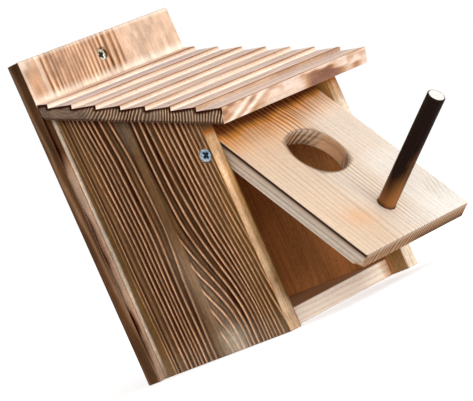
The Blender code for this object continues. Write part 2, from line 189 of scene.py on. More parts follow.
@dataclass(frozen=True)
class TracedGrain:
    """Rings whose hard lines cross a face at measured places, each place given at a few heights.

    A line that starts at the plain strip beside the heart has no places above its tip.
    """

    heights: tuple[float, ...]
    lines: tuple[tuple[float, ...], ...]
    strengths: tuple[float, ...]
    seed: int
    slant: float = 0.0
    wander: float = 0.25
    strip: tuple[float, float] | None = None
    widest: float = 100.0

    def tracks(self, levels: Array) -> Array:
        """Work out each line's place at even heights, smoothed by a bell about 9 mm long.

        Args:
            levels: The even heights.

        Returns:
            One row for each line.
        """
        rows = []
        short = [number for number, line in enumerate(self.lines) if len(line) < len(self.heights)]
        for number, line in enumerate(self.lines):
            missing = len(self.heights) - len(line)
            hidden = self.strip[1] - 2.2 - 0.6 * (short[-1] - number) if missing else 0.0
            places = [*line, *[hidden] * missing]
            rows.append(np.interp(levels, self.heights, places))
        bell = np.exp(-((np.arange(-9, 10) / 4.5) ** 2))
        padded = np.pad(np.array(rows), ((0, 0), (9, 9)), mode="edge")
        return np.array([np.convolve(row, bell / bell.sum(), "valid") for row in padded])

    def at(self, place: Array) -> tuple[Array, Array]:
        """Count the rings from line to line at each point's own height.

        Args:
            place: Across, through and along places in millimetres.

        Returns:
            The ring number with its fraction, and the share of contrast between the rings.
        """
        noise = SmoothNoise(self.seed)
        levels = np.arange(self.heights[0] - 6.0, self.heights[-1] + 6.0)
        tracks = self.tracks(levels)
        across = place[:, 0] + self.slant * place[:, 1] + self.wander * noise(place, 0.16, 0.16, 0.05)
        row = np.clip(place[:, 2] - levels[0], 0, len(levels) - 1.001)
        low = row.astype(int)
        at_row = tracks[:, low] + (tracks[:, low + 1] - tracks[:, low]) * (row - low)
        steps = np.maximum(at_row[1:] - at_row[:-1], 0.05)
        shares = np.clip((across - at_row[:-1]) / steps, 0, 1)
        width = np.where((shares > 0) & (shares < 1), steps, 0).sum(axis=0)
        rings = shares.sum(axis=0)
        rings += np.minimum(across - at_row[0], 0) / 3.0 + np.maximum(across - at_row[-1], 0) / 3.0
        last = len(self.strengths) - 1
        contrast = np.interp(rings, np.arange(last + 1), self.strengths)
        contrast *= smooth_step(-0.9, -0.3, rings) * smooth_step(last + 0.9, last + 0.3, rings)
        if self.strip:
            low_edge, high_edge = self.strip
            contrast *= 1 - smooth_step(low_edge - 0.6, low_edge + 0.8, across) * smooth_step(
                high_edge + 0.4, high_edge - 0.5, across)
        rings, left = narrowed(rings, width, self.widest)
        return rings, contrast * left


def ridge(rings: Array) -> Array:
    """Return the height, 0 to 1, of brushed grain: the hard part of each ring stands proud.

    Args:
        rings: Ring numbers with their fractions.

    Returns:
        The share of full height: a bell round each ring's start.
    """
    part = rings - np.floor(rings)
    return bump(0.0, 0.2, np.minimum(part, 1 - part))


def narrowed(rings: Array, width: Array, widest: float) -> tuple[Array, Array]:
    """Keep hard lines narrow where rings are wide, and leave the middle of such rings plain.

    The distance from the nearest line, as a share of the ring, is scaled by width over widest and
    stops at one half, so a wide ring's line is as narrow as the widest usual ring's line.

    Args:
        rings: Ring numbers with their fractions.
        width: Width of the ring at each point.
        widest: Width up to which rings stay as they are.

    Returns:
        The new ring numbers, and the share of contrast that is left.
    """
    whole = np.floor(rings)
    part = rings - whole
    scaled = np.minimum(part, 1 - part) * np.maximum(width / widest, 1)
    near = np.minimum(scaled, 0.5)
    return whole + np.where(part < 0.5, near, 1 - near), 1 - smooth_step(0.48, 0.85, scaled)


# Places of the hard lines, in millimetres from a board's own edge at some heights, and their strengths.
# For the left side and the panel most were picked from a scratch program's list of brightness peaks.
SIDE_HEIGHTS = (2.0, 11.0, 22.0, 34.0, 46.0, 59.0, 73.0, 94.0, 118.0, 145.0)
SIDE_LINES = (
    (8.8, 8.6, 8.6, 8.0, 7.6, 7.2, 7.2, 7.0, 5.4, 4.4),
    (10.8, 10.8, 10.8, 10.6, 10.3, 10.0, 10.0, 9.6, 8.6, 7.4),
    (13.5, 13.6, 13.8, 13.6, 13.6, 13.0, 12.9, 12.6, 11.2, 9.9),
    (18.0, 17.8, 17.6, 17.6, 17.4, 17.0, 17.0, 15.9, 13.6, 12.0),
    (21.2, 21.0, 20.6, 20.6, 20.2, 20.2, 20.0, 19.0, 17.2, 14.6),
    (24.5, 24.6, 24.2, 23.8, 23.6, 23.4, 23.4, 22.4, 20.8, 17.4),
    (27.4, 27.4, 27.0, 26.8, 26.6, 26.4, 26.4, 25.4, 24.2, 20.6),
    (29.8, 30.0, 29.6, 29.4, 29.2, 29.4, 29.4, 28.4, 27.0, 23.6),
    (32.8, 32.8, 32.4, 32.4, 32.4, 32.6, 32.8, 31.8, 30.4, 26.8),
    (36.6, 36.6, 36.4, 36.4, 36.4, 36.6, 37.4, 36.4, 35.0, 31.6),
    (40.4, 40.2, 40.6, 41.0, 41.2, 42.6, 44.0, 43.2, 41.4, 37.4),
    (53.4, 51.2),
    (58.4, 56.2, 52.0),
    (61.4, 61.0, 58.4, 51.4),
    (66.2, 66.0, 64.0, 59.2, 52.2),
    (69.3, 69.4, 67.8, 64.0, 58.6, 52.8),
    (72.6, 72.8, 72.0, 69.0, 64.4, 59.8, 56.4, 54.4, 53.4, 53.2),
    (76.4, 76.4, 75.4, 73.0, 69.2, 65.2, 62.0, 59.6, 58.4, 58.0),
    (79.2, 79.0, 78.2, 76.0, 72.8, 69.4, 67.0, 64.2, 62.8, 61.6),
    (81.4, 81.4, 80.8, 79.0, 76.2, 73.4, 71.0, 68.8, 67.2, 65.8),
    (83.8, 83.4, 82.6, 81.2, 79.2, 76.4, 74.0, 72.6, 70.4, 69.4),
    (86.2, 85.6, 85.0, 83.8, 82.0, 79.6, 77.6, 75.6, 73.8, 73.0),
    (88.8, 88.4, 87.4, 86.2, 84.6, 82.6, 80.8, 78.6, 77.2, 76.8),
    (91.4, 91.0, 90.2, 89.2, 87.8, 85.8, 84.2, 82.4, 81.0, 80.6),
    (96.5, 95.6, 93.4, 92.0, 90.6, 88.8, 87.2, 85.8, 84.4, 84.0),
    (100.0, 98.6, 97.0, 94.8, 93.8, 91.8, 89.8, 88.6, 87.4, 87.0),
    (103.0, 101.6, 100.0, 98.0, 96.6, 94.8, 93.2, 91.6, 90.4, 90.0),
    (106.0, 104.6, 103.0, 101.0, 99.6, 97.8, 96.2, 94.6, 93.6, 93.2))
SIDE_STRENGTHS = (0.6, 0.75, 0.12, 0.7, 1.0, 1.0, 0.9, 0.9, 1.0, 0.95, 0.8, 0.7, 0.8, 0.9, 1.0, 1.0, 1.0,
    1.0, 0.85, 0.95, 0.95, 0.95, 1.0, 0.95, 0.9, 0.75, 0.6, 0.6)
PANEL_HEIGHTS = (0.0, 40.0, 84.0, 95.5, 100.5, 106.0)
PANEL_LINES = ((2.6, 3.8, 4.8, 4.9, 5.5, 4.7), (5.8, 6.4, 7.8, 8.3, 8.9, 8.9),
    (9.4, 10.0, 11.4, 11.5, 12.1, 12.3), (12.8, 13.0, 14.8, 15.9, 16.5, 15.9),
    (18.0, 17.8, 19.4, 20.3, 20.7, 21.1), (22.0, 21.4, 22.8, 23.3, 24.6, 25.2),
    (25.0, 25.6, 26.6, 27.5, 27.9, 28.2), (28.2, 29.4, 29.6, 30.5, 30.7, 30.9),
    (34.2, 34.6, 33.8, 33.2, 33.3, 32.4), (38.0, 38.0, 37.8, 37.5, 37.1, 36.1),
    (41.6, 41.0, 40.8, 40.9, 39.9, 39.1), (45.4, 44.8, 44.6, 43.9, 43.1, 42.3),
    (48.4, 48.0, 48.0, 47.3, 46.5, 45.5), (51.3, 50.9, 51.2, 51.1, 49.9, 48.9),
    (54.0, 53.8, 54.6, 54.9, 53.7, 52.5), (57.0, 56.8, 58.0, 58.1, 57.1, 56.1),
    (59.8, 59.7, 61.0, 61.1, 60.3, 59.1), (62.2, 62.0, 62.9, 62.8, 62.2, 61.1),
    (65.4, 65.2, 65.2, 64.7, 64.1, 63.1), (69.4, 70.6, 71.0, 69.3, 67.9, 67.5),
    (73.0, 74.8, 73.8, 73.9, 73.7, 73.7), (76.4, 78.6, 77.4, 77.1, 76.9, 76.9),
    (79.2, 82.0, 80.6, 80.6, 80.3, 80.7), (82.4, 84.8, 84.0, 84.3, 84.5, 84.5),
    (85.8, 88.0, 87.4, 86.9, 87.0, 87.3), (89.8, 91.0, 90.4, 90.1, 89.9, 90.1),
    (93.6, 94.0, 93.4, 93.1, 92.9, 92.7))
PANEL_STRENGTHS = (0.4, 0.45, 0.4, 0.5, 0.8, 0.35, 0.35, 0.7, 0.5, 0.35, 0.4, 0.75, 0.85, 0.85, 1.0, 0.8,
    0.45, 0.4, 0.65, 0.35, 0.5, 0.75, 0.45, 0.4, 0.4, 0.3, 0.3)
BACK_LINES = (17.5, 22.0, 25.3, 28.0, 31.0, 34.4, 37.6, 40.2, 43.0, 45.8, 48.8, 51.9, 55.0, 58.4, 61.8, 65.2,
              69.6, 75.2, 80.2)
BACK_STRENGTHS = (1.0, 0.95, 0.85, 0.4, 0.5, 0.6, 0.5, 0.35, 0.45, 0.5, 0.5, 0.5, 0.55, 0.7, 0.7, 0.85, 1.0,
    1.0, 0.95)


# Meshes


@dataclass
class Shell:
    """Patches of faces that are welded into one closed mesh."""

    points: list[Array] = field(default_factory=list)
    faces: list[Array] = field(default_factory=list)
    count: int = 0

    def add(self, points: Array, faces: Sequence[Array]) -> None:
        """Add a patch.

        Args:
            points: Its points.
            faces: Arrays of faces that join them.
        """
        self.points.append(points)
        self.faces.extend(part + self.count for part in faces if len(part))
        self.count += len(points)

    def add_rings(self, rings: Sequence[Array], flip: bool) -> None:
        """Add a band through closed loops that have the same number of points.

        Args:
            rings: Loops of points, one after the other.
            flip: Turn the faces round.
        """
        width = len(rings[0])
        row = np.arange(width)
        after = (row + 1) % width
        base = (np.arange(len(rings) - 1) * width)[:, None]
        quads = np.stack([base + row, base + after, base + width + after, base + width + row], -1)
        quads = quads.reshape(-1, 4)
        self.add(np.concatenate(rings), [quads[:, ::-1] if flip else quads])

    def add_fan(self, ring: Array, centre: Array, flip: bool) -> None:
        """Close a loop with triangles to a centre point.

        Args:
            ring: The loop of points.
            centre: The point in the middle.
            flip: Turn the faces round.
        """
        row = np.arange(len(ring))
        fan = np.stack([row, (row + 1) % len(ring), np.full(len(ring), len(ring))], -1)
        self.add(np.concatenate([ring, centre[None]]), [fan[:, ::-1] if flip else fan])

    def mesh(self, name: str) -> Mesh:
        """Weld points that share a place, and return the smooth-shaded mesh.

        Args:
            name: The mesh's name.

        Returns:
            The mesh, whose seams and poles are closed.
        """
        points = np.concatenate(self.points)
        _, first, same = np.unique(np.round(points / WELD).astype(np.int64), axis=0,
                                   return_index=True, return_inverse=True)
        same = same.ravel()
        faces = [same[part].tolist() for part in self.faces]
        mesh = bpy.data.meshes.new(name)
        mesh.from_pydata(points[first], [], [face for part in faces for face in part])
        mesh.update()
        mesh.shade_smooth()
        return mesh


def read_points(mesh: Mesh) -> tuple[Array, Array]:
    """Read a mesh's points and their normals.

    Args:
        mesh: The mesh.

    Returns:
        The points and the normals, as rows of three.
    """
    points = np.zeros(len(mesh.vertices) * 3, np.float32)
    normals = np.zeros(len(mesh.vertices) * 3, np.float32)
    mesh.vertices.foreach_get("co", points)
    mesh.vertices.foreach_get("normal", normals)
    return points.reshape(-1, 3).astype(float), normals.reshape(-1, 3).astype(float)


def write_points(mesh: Mesh, points: Array) -> None:
    """Put an array of rows back into a mesh as its points.

    Args:
        mesh: The mesh.
        points: One row of three for each point.
    """
    mesh.vertices.foreach_set("co", points.astype(np.float32).ravel())
    mesh.update()


def write_values(mesh: Mesh, name: str, values: Array) -> None:
    """Store a number or a vector at each point of a mesh, for its material to read.

    Args:
        mesh: The mesh.
        name: The attribute's name.
        values: One number or one row of three for each point.
    """
    kind, slot = ("FLOAT_VECTOR", "vector") if values.ndim == 2 else ("FLOAT", "value")
    layer = mesh.attributes.new(name, kind, "POINT")
    layer.data.foreach_set(slot, values.astype(np.float32).ravel())


def place_piece(mesh: Mesh, material: Material, body: str, nodes: Sequence[str]) -> None:
    """Make the piece that stands for some CAD nodes and rides on their body.

    Args:
        mesh: The finished mesh, which gives the piece its name.
        material: Its material.
        body: The body that it rides on.
        nodes: The CAD nodes that it stands for.
    """
    mesh.materials.append(material)
    piece = bpy.data.objects.new(mesh.name, mesh)
    bpy.context.scene.collection.objects.link(piece)
    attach(piece, body)
    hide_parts(*nodes)
    LOG.info("%s: %d faces", piece.name, len(mesh.polygons))


def grid_lines(high: float, step: float, edge: float, keep: Sequence[float]) -> Array:
    """Space grid lines from 0 to high, with close ones at the eased edges and set ones where asked.

    Args:
        high: The last line's place.
        step: The usual space between lines.
        edge: The width of the eased edge at both ends.
        keep: Places that have to have a line.

    Returns:
        The lines' places in order.
    """
    ends = [0.0, 0.41 * edge, edge, high - edge, high - 0.41 * edge, high]
    fixed = np.array(sorted({round(value, 9) for value in [*ends, *keep]}))
    count = max(int(round((high - 2 * edge) / step)), 1)
    even = edge + (high - 2 * edge) * np.arange(1, count) / count
    free = np.abs(even[:, None] - fixed[None]).min(axis=1) > 0.45 * step
    return np.sort(np.concatenate([fixed, even[free]]))


@dataclass(frozen=True)
class RoundHole:
    """A round hole in one face of a board: rings of (radius, depth) from its rim inwards."""

    axis: int
    far: bool
    centre: tuple[float, float, float]
    half: float
    profile: tuple[tuple[float, float], ...]
    through: bool = False


def nail_hole(axis: int, far: bool, centre: tuple[float, float, float]) -> RoundHole:
    """Return the shallow hole round a nail's head.

    Args:
        axis: The board's direction that the nail follows.
        far: Whether the hole is in that direction's far face.
        centre: The middle of its rim.

    Returns:
        The hole.
    """
    profile = ((1.6 * MM, 0.0), (1.5 * MM, 0.15 * MM), (1.45 * MM, 0.8 * MM))
    return RoundHole(axis, far, centre, 2.2 * MM, profile)


# Shader nodes


class Tree:
    """A node tree with short calls for the nodes that the finishes use."""

    def __init__(self, tree: bpy.types.NodeTree) -> None:
        """Keep the tree that nodes are added to."""
        self.tree = tree

    def node(self, kind: str, **values: object) -> bpy.types.Node:
        """Add a node.

        Args:
            kind: The node's type.
            values: Its properties by name.

        Returns:
            The node.
        """
        made = self.tree.nodes.new(kind)
        for name, value in values.items():
            setattr(made, name, value)
        return made

    def feed(self, socket: Socket, value: object) -> None:
        """Link a socket to another one, or set its own value.

        Args:
            socket: The input.
            value: An output socket, or the value.
        """
        if isinstance(value, Socket):
            self.tree.links.new(value, socket)
        elif isinstance(value, tuple) and len(value) == 3 and socket.type == "RGBA":
            socket.default_value = (*value, 1.0)
        else:
            socket.default_value = value

    def fill(self, made: bpy.types.Node, **values: object) -> None:
        """Feed a node's inputs.

        Args:
            made: The node.
            values: Sockets or values by the inputs' names, with underscores for spaces.
        """
        for name, value in values.items():
            self.feed(made.inputs[name.replace("_", " ").title()], value)

    def math(self, operation: str, *values: object, clamp: bool = False) -> Socket:
        """Join numbers with a Math node.

        Args:
            operation: The node's operation.
            values: Sockets or numbers, in order.
            clamp: Keep the result from 0 to 1.

        Returns:
            The result's socket.
        """
        made = self.node("ShaderNodeMath", operation=operation, use_clamp=clamp)
        for index, value in enumerate(values):
            self.feed(made.inputs[index], value)
        return made.outputs[0]

    def scaled(self, vector: object, scale: tuple[float, float, float]) -> Socket:
        """Multiply a vector by a fixed scale.

        Args:
            vector: The vector's socket.
            scale: The scale along each axis.

        Returns:
            The result's socket.
        """
        made = self.node("ShaderNodeVectorMath", operation="MULTIPLY")
        self.feed(made.inputs[0], vector)
        made.inputs[1].default_value = scale
        return made.outputs[0]

    def mix(self, share: object, first: object, second: object, blend: str = "MIX") -> Socket:
        """Mix two colours.

        Args:
            share: How much of the second, 0 to 1.
            first: The colour at share 0.
            second: The colour at share 1.
            blend: The blend type.

        Returns:
            The mixed colour's socket.
        """
        made = self.node("ShaderNodeMix", data_type="RGBA", blend_type=blend, clamp_factor=True)
        self.feed(made.inputs[0], share)
        self.feed(made.inputs[6], first)
        self.feed(made.inputs[7], second)
        return made.outputs[2]

    def ramp(self, share: object, stops: Stops) -> Socket:
        """Turn a number into a colour.

        Args:
            share: The number, 0 to 1.
            stops: Places and colours, in order.

        Returns:
            The colour's socket.
        """
        made = self.node("ShaderNodeValToRGB")
        self.feed(made.inputs[0], share)
        elements = made.color_ramp.elements
        while len(elements) < len(stops):
            elements.new(0.5)
        for element, (place, _) in zip(elements, stops):
            element.position = place
        for element, (_, colour) in zip(elements, stops):
            element.color = (*colour, 1.0)
        return made.outputs[0]

    def span(self, value: object, low: float, high: float, start: float, end: float) -> Socket:
        """Map a number to another range, and clamp it.

        Args:
            value: The number.
            low: What becomes start.
            high: What becomes end.
            start: The new range's start.
            end: The new range's end.

        Returns:
            The result's socket.
        """
        made = self.node("ShaderNodeMapRange", clamp=True)
        self.feed(made.inputs[0], value)
        for index, number in enumerate((low, high, start, end), 1):
            made.inputs[index].default_value = number
        return made.outputs[0]

    def noise(self, vector: object, scale: float, detail: float, roughness: float = 0.5,
              distortion: float = 0.0) -> Socket:
        """Add a noise texture.

        Args:
            vector: Where it is worked out.
            scale: Its scale.
            detail: Its number of finer layers.
            roughness: The strength of those layers.
            distortion: How far it is bent.

        Returns:
            The value's socket, about 0.2 to 0.8.
        """
        made = self.node("ShaderNodeTexNoise")
        self.fill(made, vector=vector, scale=scale, detail=detail, roughness=roughness, distortion=distortion)
        return made.outputs[0]

    def read(self, name: str, vector: bool = False) -> Socket:
        """Read a value that the mesh keeps at its points."""
        made = self.node("ShaderNodeAttribute", attribute_name=name)
        return made.outputs["Vector"] if vector else made.outputs["Fac"]

    def shaded(self, colour: object, share: object) -> Socket:
        """Multiply a colour by a number.

        Args:
            colour: The colour.
            share: The number.

        Returns:
            The result's socket.
        """
        grey = self.node("ShaderNodeCombineColor")
        for socket in grey.inputs:
            self.feed(socket, share)
        return self.mix(1.0, colour, grey.outputs[0], "MULTIPLY")

    def emboss(self, shader: bpy.types.Node, height: object, strength: float, distance: float) -> None:
        """Raise a shader's surface by a height.

        Args:
            shader: The shader.
            height: The height's socket, 0 to 1.
            strength: The strength, 0 to 1.
            distance: How far a height of 1 stands up.
        """
        made = self.node("ShaderNodeBump")
        self.fill(made, strength=strength, distance=distance, height=height)
        self.fill(shader, normal=made.outputs[0])

    def use(self, group: bpy.types.NodeTree, **values: object) -> dict[str, Socket]:
        """Place a shared group.

        Args:
            group: The node group.
            values: Its inputs by name, with underscores for spaces.

        Returns:
            Its output sockets by name.
        """
        made = self.node("ShaderNodeGroup")
        made.node_tree = group
        self.fill(made, **values)
        return {socket.name: socket for socket in made.outputs}


def new_group(name: str, inputs: dict[str, str], outputs: dict[str, str]) -> tuple[Tree, dict, dict]:
    """Start a shader node group.

    Args:
        name: The group's name.
        inputs: Socket types by the names of its inputs.
        outputs: Socket types by the names of its outputs.

    Returns:
        The tree, its input sockets and its output sockets, by name.
    """
    group = bpy.data.node_groups.new(name, "ShaderNodeTree")
    for label, kind in inputs.items():
        group.interface.new_socket(label, in_out="INPUT", socket_type=kind)
    for label, kind in outputs.items():
        group.interface.new_socket(label, in_out="OUTPUT", socket_type=kind)
    tree = Tree(group)
    start, end = tree.node("NodeGroupInput"), tree.node("NodeGroupOutput")
    given = {label: start.outputs[label] for label in inputs}
    wanted = {label: end.inputs[label] for label in outputs}
    return tree, given, wanted


def new_material(name: str) -> tuple[Material, Tree, bpy.types.Node]:
    """Start a material.

    Args:
        name: Its name.

    Returns:
        The material, its tree and its shader.
    """
    material = bpy.data.materials.new(name)
    material.use_nodes = True
    return material, Tree(material.node_tree), material.node_tree.nodes["Principled BSDF"]


FLOAT = "NodeSocketFloat"
VECTOR = "NodeSocketVector"


class Effects:
    """The node groups that several finishes share."""

    def __init__(self) -> None:
        """Build every group once."""
        self.rings = self.growth_rings()
        self.fibres = self.wood_fibres()
        self.scorch = self.scorch_cloud()
        self.wear = self.edge_wear()
        self.blotches = self.board_blotches()

    def growth_rings(self) -> bpy.types.NodeTree:
        """Split the ring number into the place within a ring and a random strength of that ring.

        Returns:
            A group from Phase, Place and Wander to Position and Strength.
        """
        tree, given, wanted = new_group(
            "growth_rings", {"Phase": FLOAT, "Place": VECTOR, "Wander": FLOAT},
            {"Position": FLOAT, "Strength": FLOAT})
        drift = tree.noise(tree.scaled(given["Place"], (900.0, 900.0, 60.0)), 1.0, 3.0)
        drift = tree.math("MULTIPLY", tree.math("SUBTRACT", drift, 0.5), given["Wander"])
        rings = tree.math("ADD", given["Phase"], drift)
        tree.feed(wanted["Position"], tree.math("FRACT", rings))
        strength = tree.node("ShaderNodeTexWhiteNoise", noise_dimensions="1D")
        tree.feed(strength.inputs["W"], tree.math("FLOOR", rings))
        tree.feed(wanted["Strength"], strength.outputs["Value"])
        return tree.tree

    def wood_fibres(self) -> bpy.types.NodeTree:
        """Draw fine streaks that run with the grain.

        Returns:
            A group from Place to Fibre and Fleck, both about 0 to 1.
        """
        tree, given, wanted = new_group("wood_fibres", {"Place": VECTOR}, {"Fibre": FLOAT, "Fleck": FLOAT})
        fine = tree.noise(tree.scaled(given["Place"], (2600.0, 2600.0, 55.0)), 1.0, 4.0, 0.6)
        coarse = tree.noise(tree.scaled(given["Place"], (700.0, 700.0, 16.0)), 1.0, 2.0, 0.5)
        both = tree.math("ADD", tree.math("MULTIPLY", fine, 0.6), tree.math("MULTIPLY", coarse, 0.4))
        tree.feed(wanted["Fibre"], tree.span(both, 0.3, 0.7, 0.0, 1.0))
        fleck = tree.noise(tree.scaled(given["Place"], (1900.0, 1900.0, 240.0)), 1.0, 2.0, 0.6)
        tree.feed(wanted["Fleck"], tree.span(fleck, 0.56, 0.74, 0.0, 1.0))
        return tree.tree

    def scorch_cloud(self) -> bpy.types.NodeTree:
        """Break the edge of a flame's mark up with soft clouds.

        Returns:
            A group from Char, Place and Patchiness to Amber and Black.
        """
        tree, given, wanted = new_group(
            "scorch_cloud", {"Char": FLOAT, "Place": VECTOR, "Patchiness": FLOAT},
            {"Amber": FLOAT, "Black": FLOAT})
        cloud = tree.noise(tree.scaled(given["Place"], (160.0, 160.0, 42.0)), 1.0, 4.0, 0.6)
        cloud = tree.math("MULTIPLY", tree.math("SUBTRACT", cloud, 0.5), given["Patchiness"])
        held = tree.math("MULTIPLY", cloud, tree.span(given["Char"], 0.0, 0.15, 0.0, 1.0))
        char = tree.math("ADD", given["Char"], held)
        tree.feed(wanted["Amber"], tree.span(char, 0.0, 0.5, 0.0, 1.0))
        tree.feed(wanted["Black"], tree.span(char, 0.45, 1.0, 0.0, 1.0))
        return tree.tree

    def edge_wear(self) -> bpy.types.NodeTree:
        """Rub the arrises unevenly.

        Returns:
            A group from Arris and Place to Mask.
        """
        tree, given, wanted = new_group("edge_wear", {"Arris": FLOAT, "Place": VECTOR}, {"Mask": FLOAT})
        rubbed = tree.noise(tree.scaled(given["Place"], (500.0, 500.0, 90.0)), 1.0, 3.0, 0.6)
        mask = tree.math("MULTIPLY", given["Arris"], tree.span(rubbed, 0.35, 0.6, 0.25, 1.0))
        tree.feed(wanted["Mask"], mask)
        return tree.tree

    def board_blotches(self) -> bpy.types.NodeTree:
        """Draw large soft patches, as resin and sanding leave them.

        Returns:
            A group from Place to Patch and Grit, about 0 to 1.
        """
        tree, given, wanted = new_group("board_blotches", {"Place": VECTOR}, {"Patch": FLOAT, "Grit": FLOAT})
        patch = tree.noise(tree.scaled(given["Place"], (70.0, 70.0, 30.0)), 1.0, 3.0, 0.55, 0.4)
        tree.feed(wanted["Patch"], tree.span(patch, 0.38, 0.66, 0.0, 1.0))
        grit = tree.noise(tree.scaled(given["Place"], (900.0, 900.0, 420.0)), 1.0, 3.0, 0.8)
        tree.feed(wanted["Grit"], tree.span(grit, 0.3, 0.7, 0.0, 1.0))
        return tree.tree


@dataclass(frozen=True)
class RingTones:
    """Colours of one kind of surface: where rings don't show, and across one ring."""

    plain: Colour
    stops: Stops


@dataclass(frozen=True)
class WoodFinish:
    """Sawn pine, from bare to charred, with its own colour across each growth ring."""

    name: str
    bare: RingTones
    charred: RingTones
    end: RingTones
    amber: Colour
    pale: Colour
    warm: Colour
    inside: Colour
    wear: Colour
    wear_share: float
    fibre_share: float
    patch: Colour
    patch_share: float
    wander: float = 0.12
    patchiness: float = 0.5
    fleck_share: float = 0.2
    grit_share: float = 0.08
    relief: float = 0.12
    rough: tuple[float, float] = (0.55, 0.82)

    def material(self, effects: Effects) -> Material:
        """Build the material.

        Bare wood is tinted towards amber and then replaced by charred wood as the char mark rises.
        The piece's marks for pale, warm, cut-end and inside places go over that, then fibres,
        patches and rubbed arrises; its lift mark makes places lighter by that share.

        Args:
            effects: The shared node groups.

        Returns:
            The material.
        """
        material, tree, shader = new_material(self.name)
        place = tree.read("grain_place", vector=True)
        contrast = tree.read("ring_contrast")
        rings = tree.use(effects.rings, phase=tree.read("ring_phase"), place=place, wander=self.wander)
        fibres = tree.use(effects.fibres, place=place)
        clouds = tree.use(effects.blotches, place=place)
        scorch = tree.use(effects.scorch, char=tree.read("char"), place=place, patchiness=self.patchiness)
        wear = tree.use(effects.wear, arris=tree.read("arris"), place=place)

        strength = tree.math("MULTIPLY", contrast, tree.span(rings["Strength"], 0.0, 1.0, 0.72, 1.0))
        bare, charred, end = (
            tree.mix(strength, tones.plain, tree.ramp(rings["Position"], tones.stops))
            for tones in (self.bare, self.charred, self.end))
        bare = tree.mix(tree.math("MULTIPLY", clouds["Patch"], self.patch_share), bare, self.patch)
        amber = tree.mix(scorch["Amber"], (1.0, 1.0, 1.0), self.amber)
        colour = tree.mix(1.0, bare, amber, "MULTIPLY")
        colour = tree.mix(scorch["Black"], colour, charred)
        colour = tree.mix(tree.read("warm"), colour, self.warm)
        colour = tree.mix(tree.read("pale"), colour, self.pale)
        colour = tree.mix(tree.read("end_grain"), colour, end)
        colour = tree.mix(tree.read("inside"), colour, self.inside)
        colour = tree.mix(tree.math("MULTIPLY", wear["Mask"], self.wear_share), colour, self.wear)
        # This mark mixes in a near-black brown: partly real char lines, partly painted shade in grooves,
        # under the roof and round the hanging screw.
        colour = tree.mix(tree.read("soot_and_shade"), colour, SOOT_AND_SHADE)
        grey = tree.span(fibres["Fibre"], 0.0, 1.0, 1.0 - self.fibre_share, 1.0 + 0.4 * self.fibre_share)
        grit = tree.span(clouds["Grit"], 0.0, 1.0, 1.0 - self.grit_share, 1.0 + self.grit_share)
        grey = tree.math("MULTIPLY", grey, grit)
        grey = tree.math("MULTIPLY", grey, tree.math("ADD", tree.read("lift"), 1.0))
        grey = tree.math("MULTIPLY", grey, tree.span(fibres["Fleck"], 0.0, 1.0, 1.0, 1.0 - self.fleck_share))
        low, high = self.rough
        rough = tree.span(fibres["Fibre"], 0.0, 1.0, high, low)
        tree.fill(shader, base_color=tree.shaded(colour, grey), roughness=rough)
        shader.inputs["Specular IOR Level"].default_value = 0.015
        height = tree.math("ADD", tree.math("MULTIPLY", fibres["Fibre"], 0.6),
                           tree.math("MULTIPLY", clouds["Grit"], 0.25))
        height = tree.math("SUBTRACT", height, tree.math("MULTIPLY", fibres["Fleck"], 0.5))
        tree.emboss(shader, height, 0.7, self.relief * MM)
        return material


# Colours across a ring start with the hard, proud part of the ring
CHARRED_STOPS: Stops = (
    (0.00, tone(240, 193, 155)), (0.10, tone(220, 170, 130)), (0.20, tone(142, 94, 62)),
    (0.32, tone(80, 38, 14)), (0.45, tone(22, 1, 0)), (0.63, tone(20, 0, 0)), (0.73, tone(66, 28, 8)),
    (0.83, tone(126, 84, 54)), (0.92, tone(208, 160, 122)), (1.00, tone(240, 193, 155)))
CHARRED = RingTones(tone(114, 83, 54), CHARRED_STOPS)
PALE_STOPS: Stops = (
    (0.00, tone(204, 180, 154)), (0.12, tone(190, 164, 136)), (0.26, tone(238, 218, 194)),
    (0.55, tone(250, 238, 222)), (0.85, tone(244, 226, 206)), (1.00, tone(204, 180, 154)))
END_STOPS: Stops = (
    (0.00, tone(22, 4, 0)), (0.20, tone(40, 12, 4)), (0.36, tone(150, 116, 86)), (0.52, tone(238, 200, 162)),
    (0.68, tone(164, 128, 96)), (0.84, tone(70, 38, 20)), (1.00, tone(22, 4, 0)))
SCORCHED_END = RingTones(tone(126, 104, 88), END_STOPS)
PALE_END = RingTones(tone(206, 172, 138), (
    (0.00, tone(150, 108, 72)), (0.25, tone(176, 134, 98)), (0.55, tone(216, 182, 146)),
    (1.00, tone(150, 108, 72))))
# Near-black brown for char lines and for painted shade.
SOOT_AND_SHADE = tone(48, 12, 2)


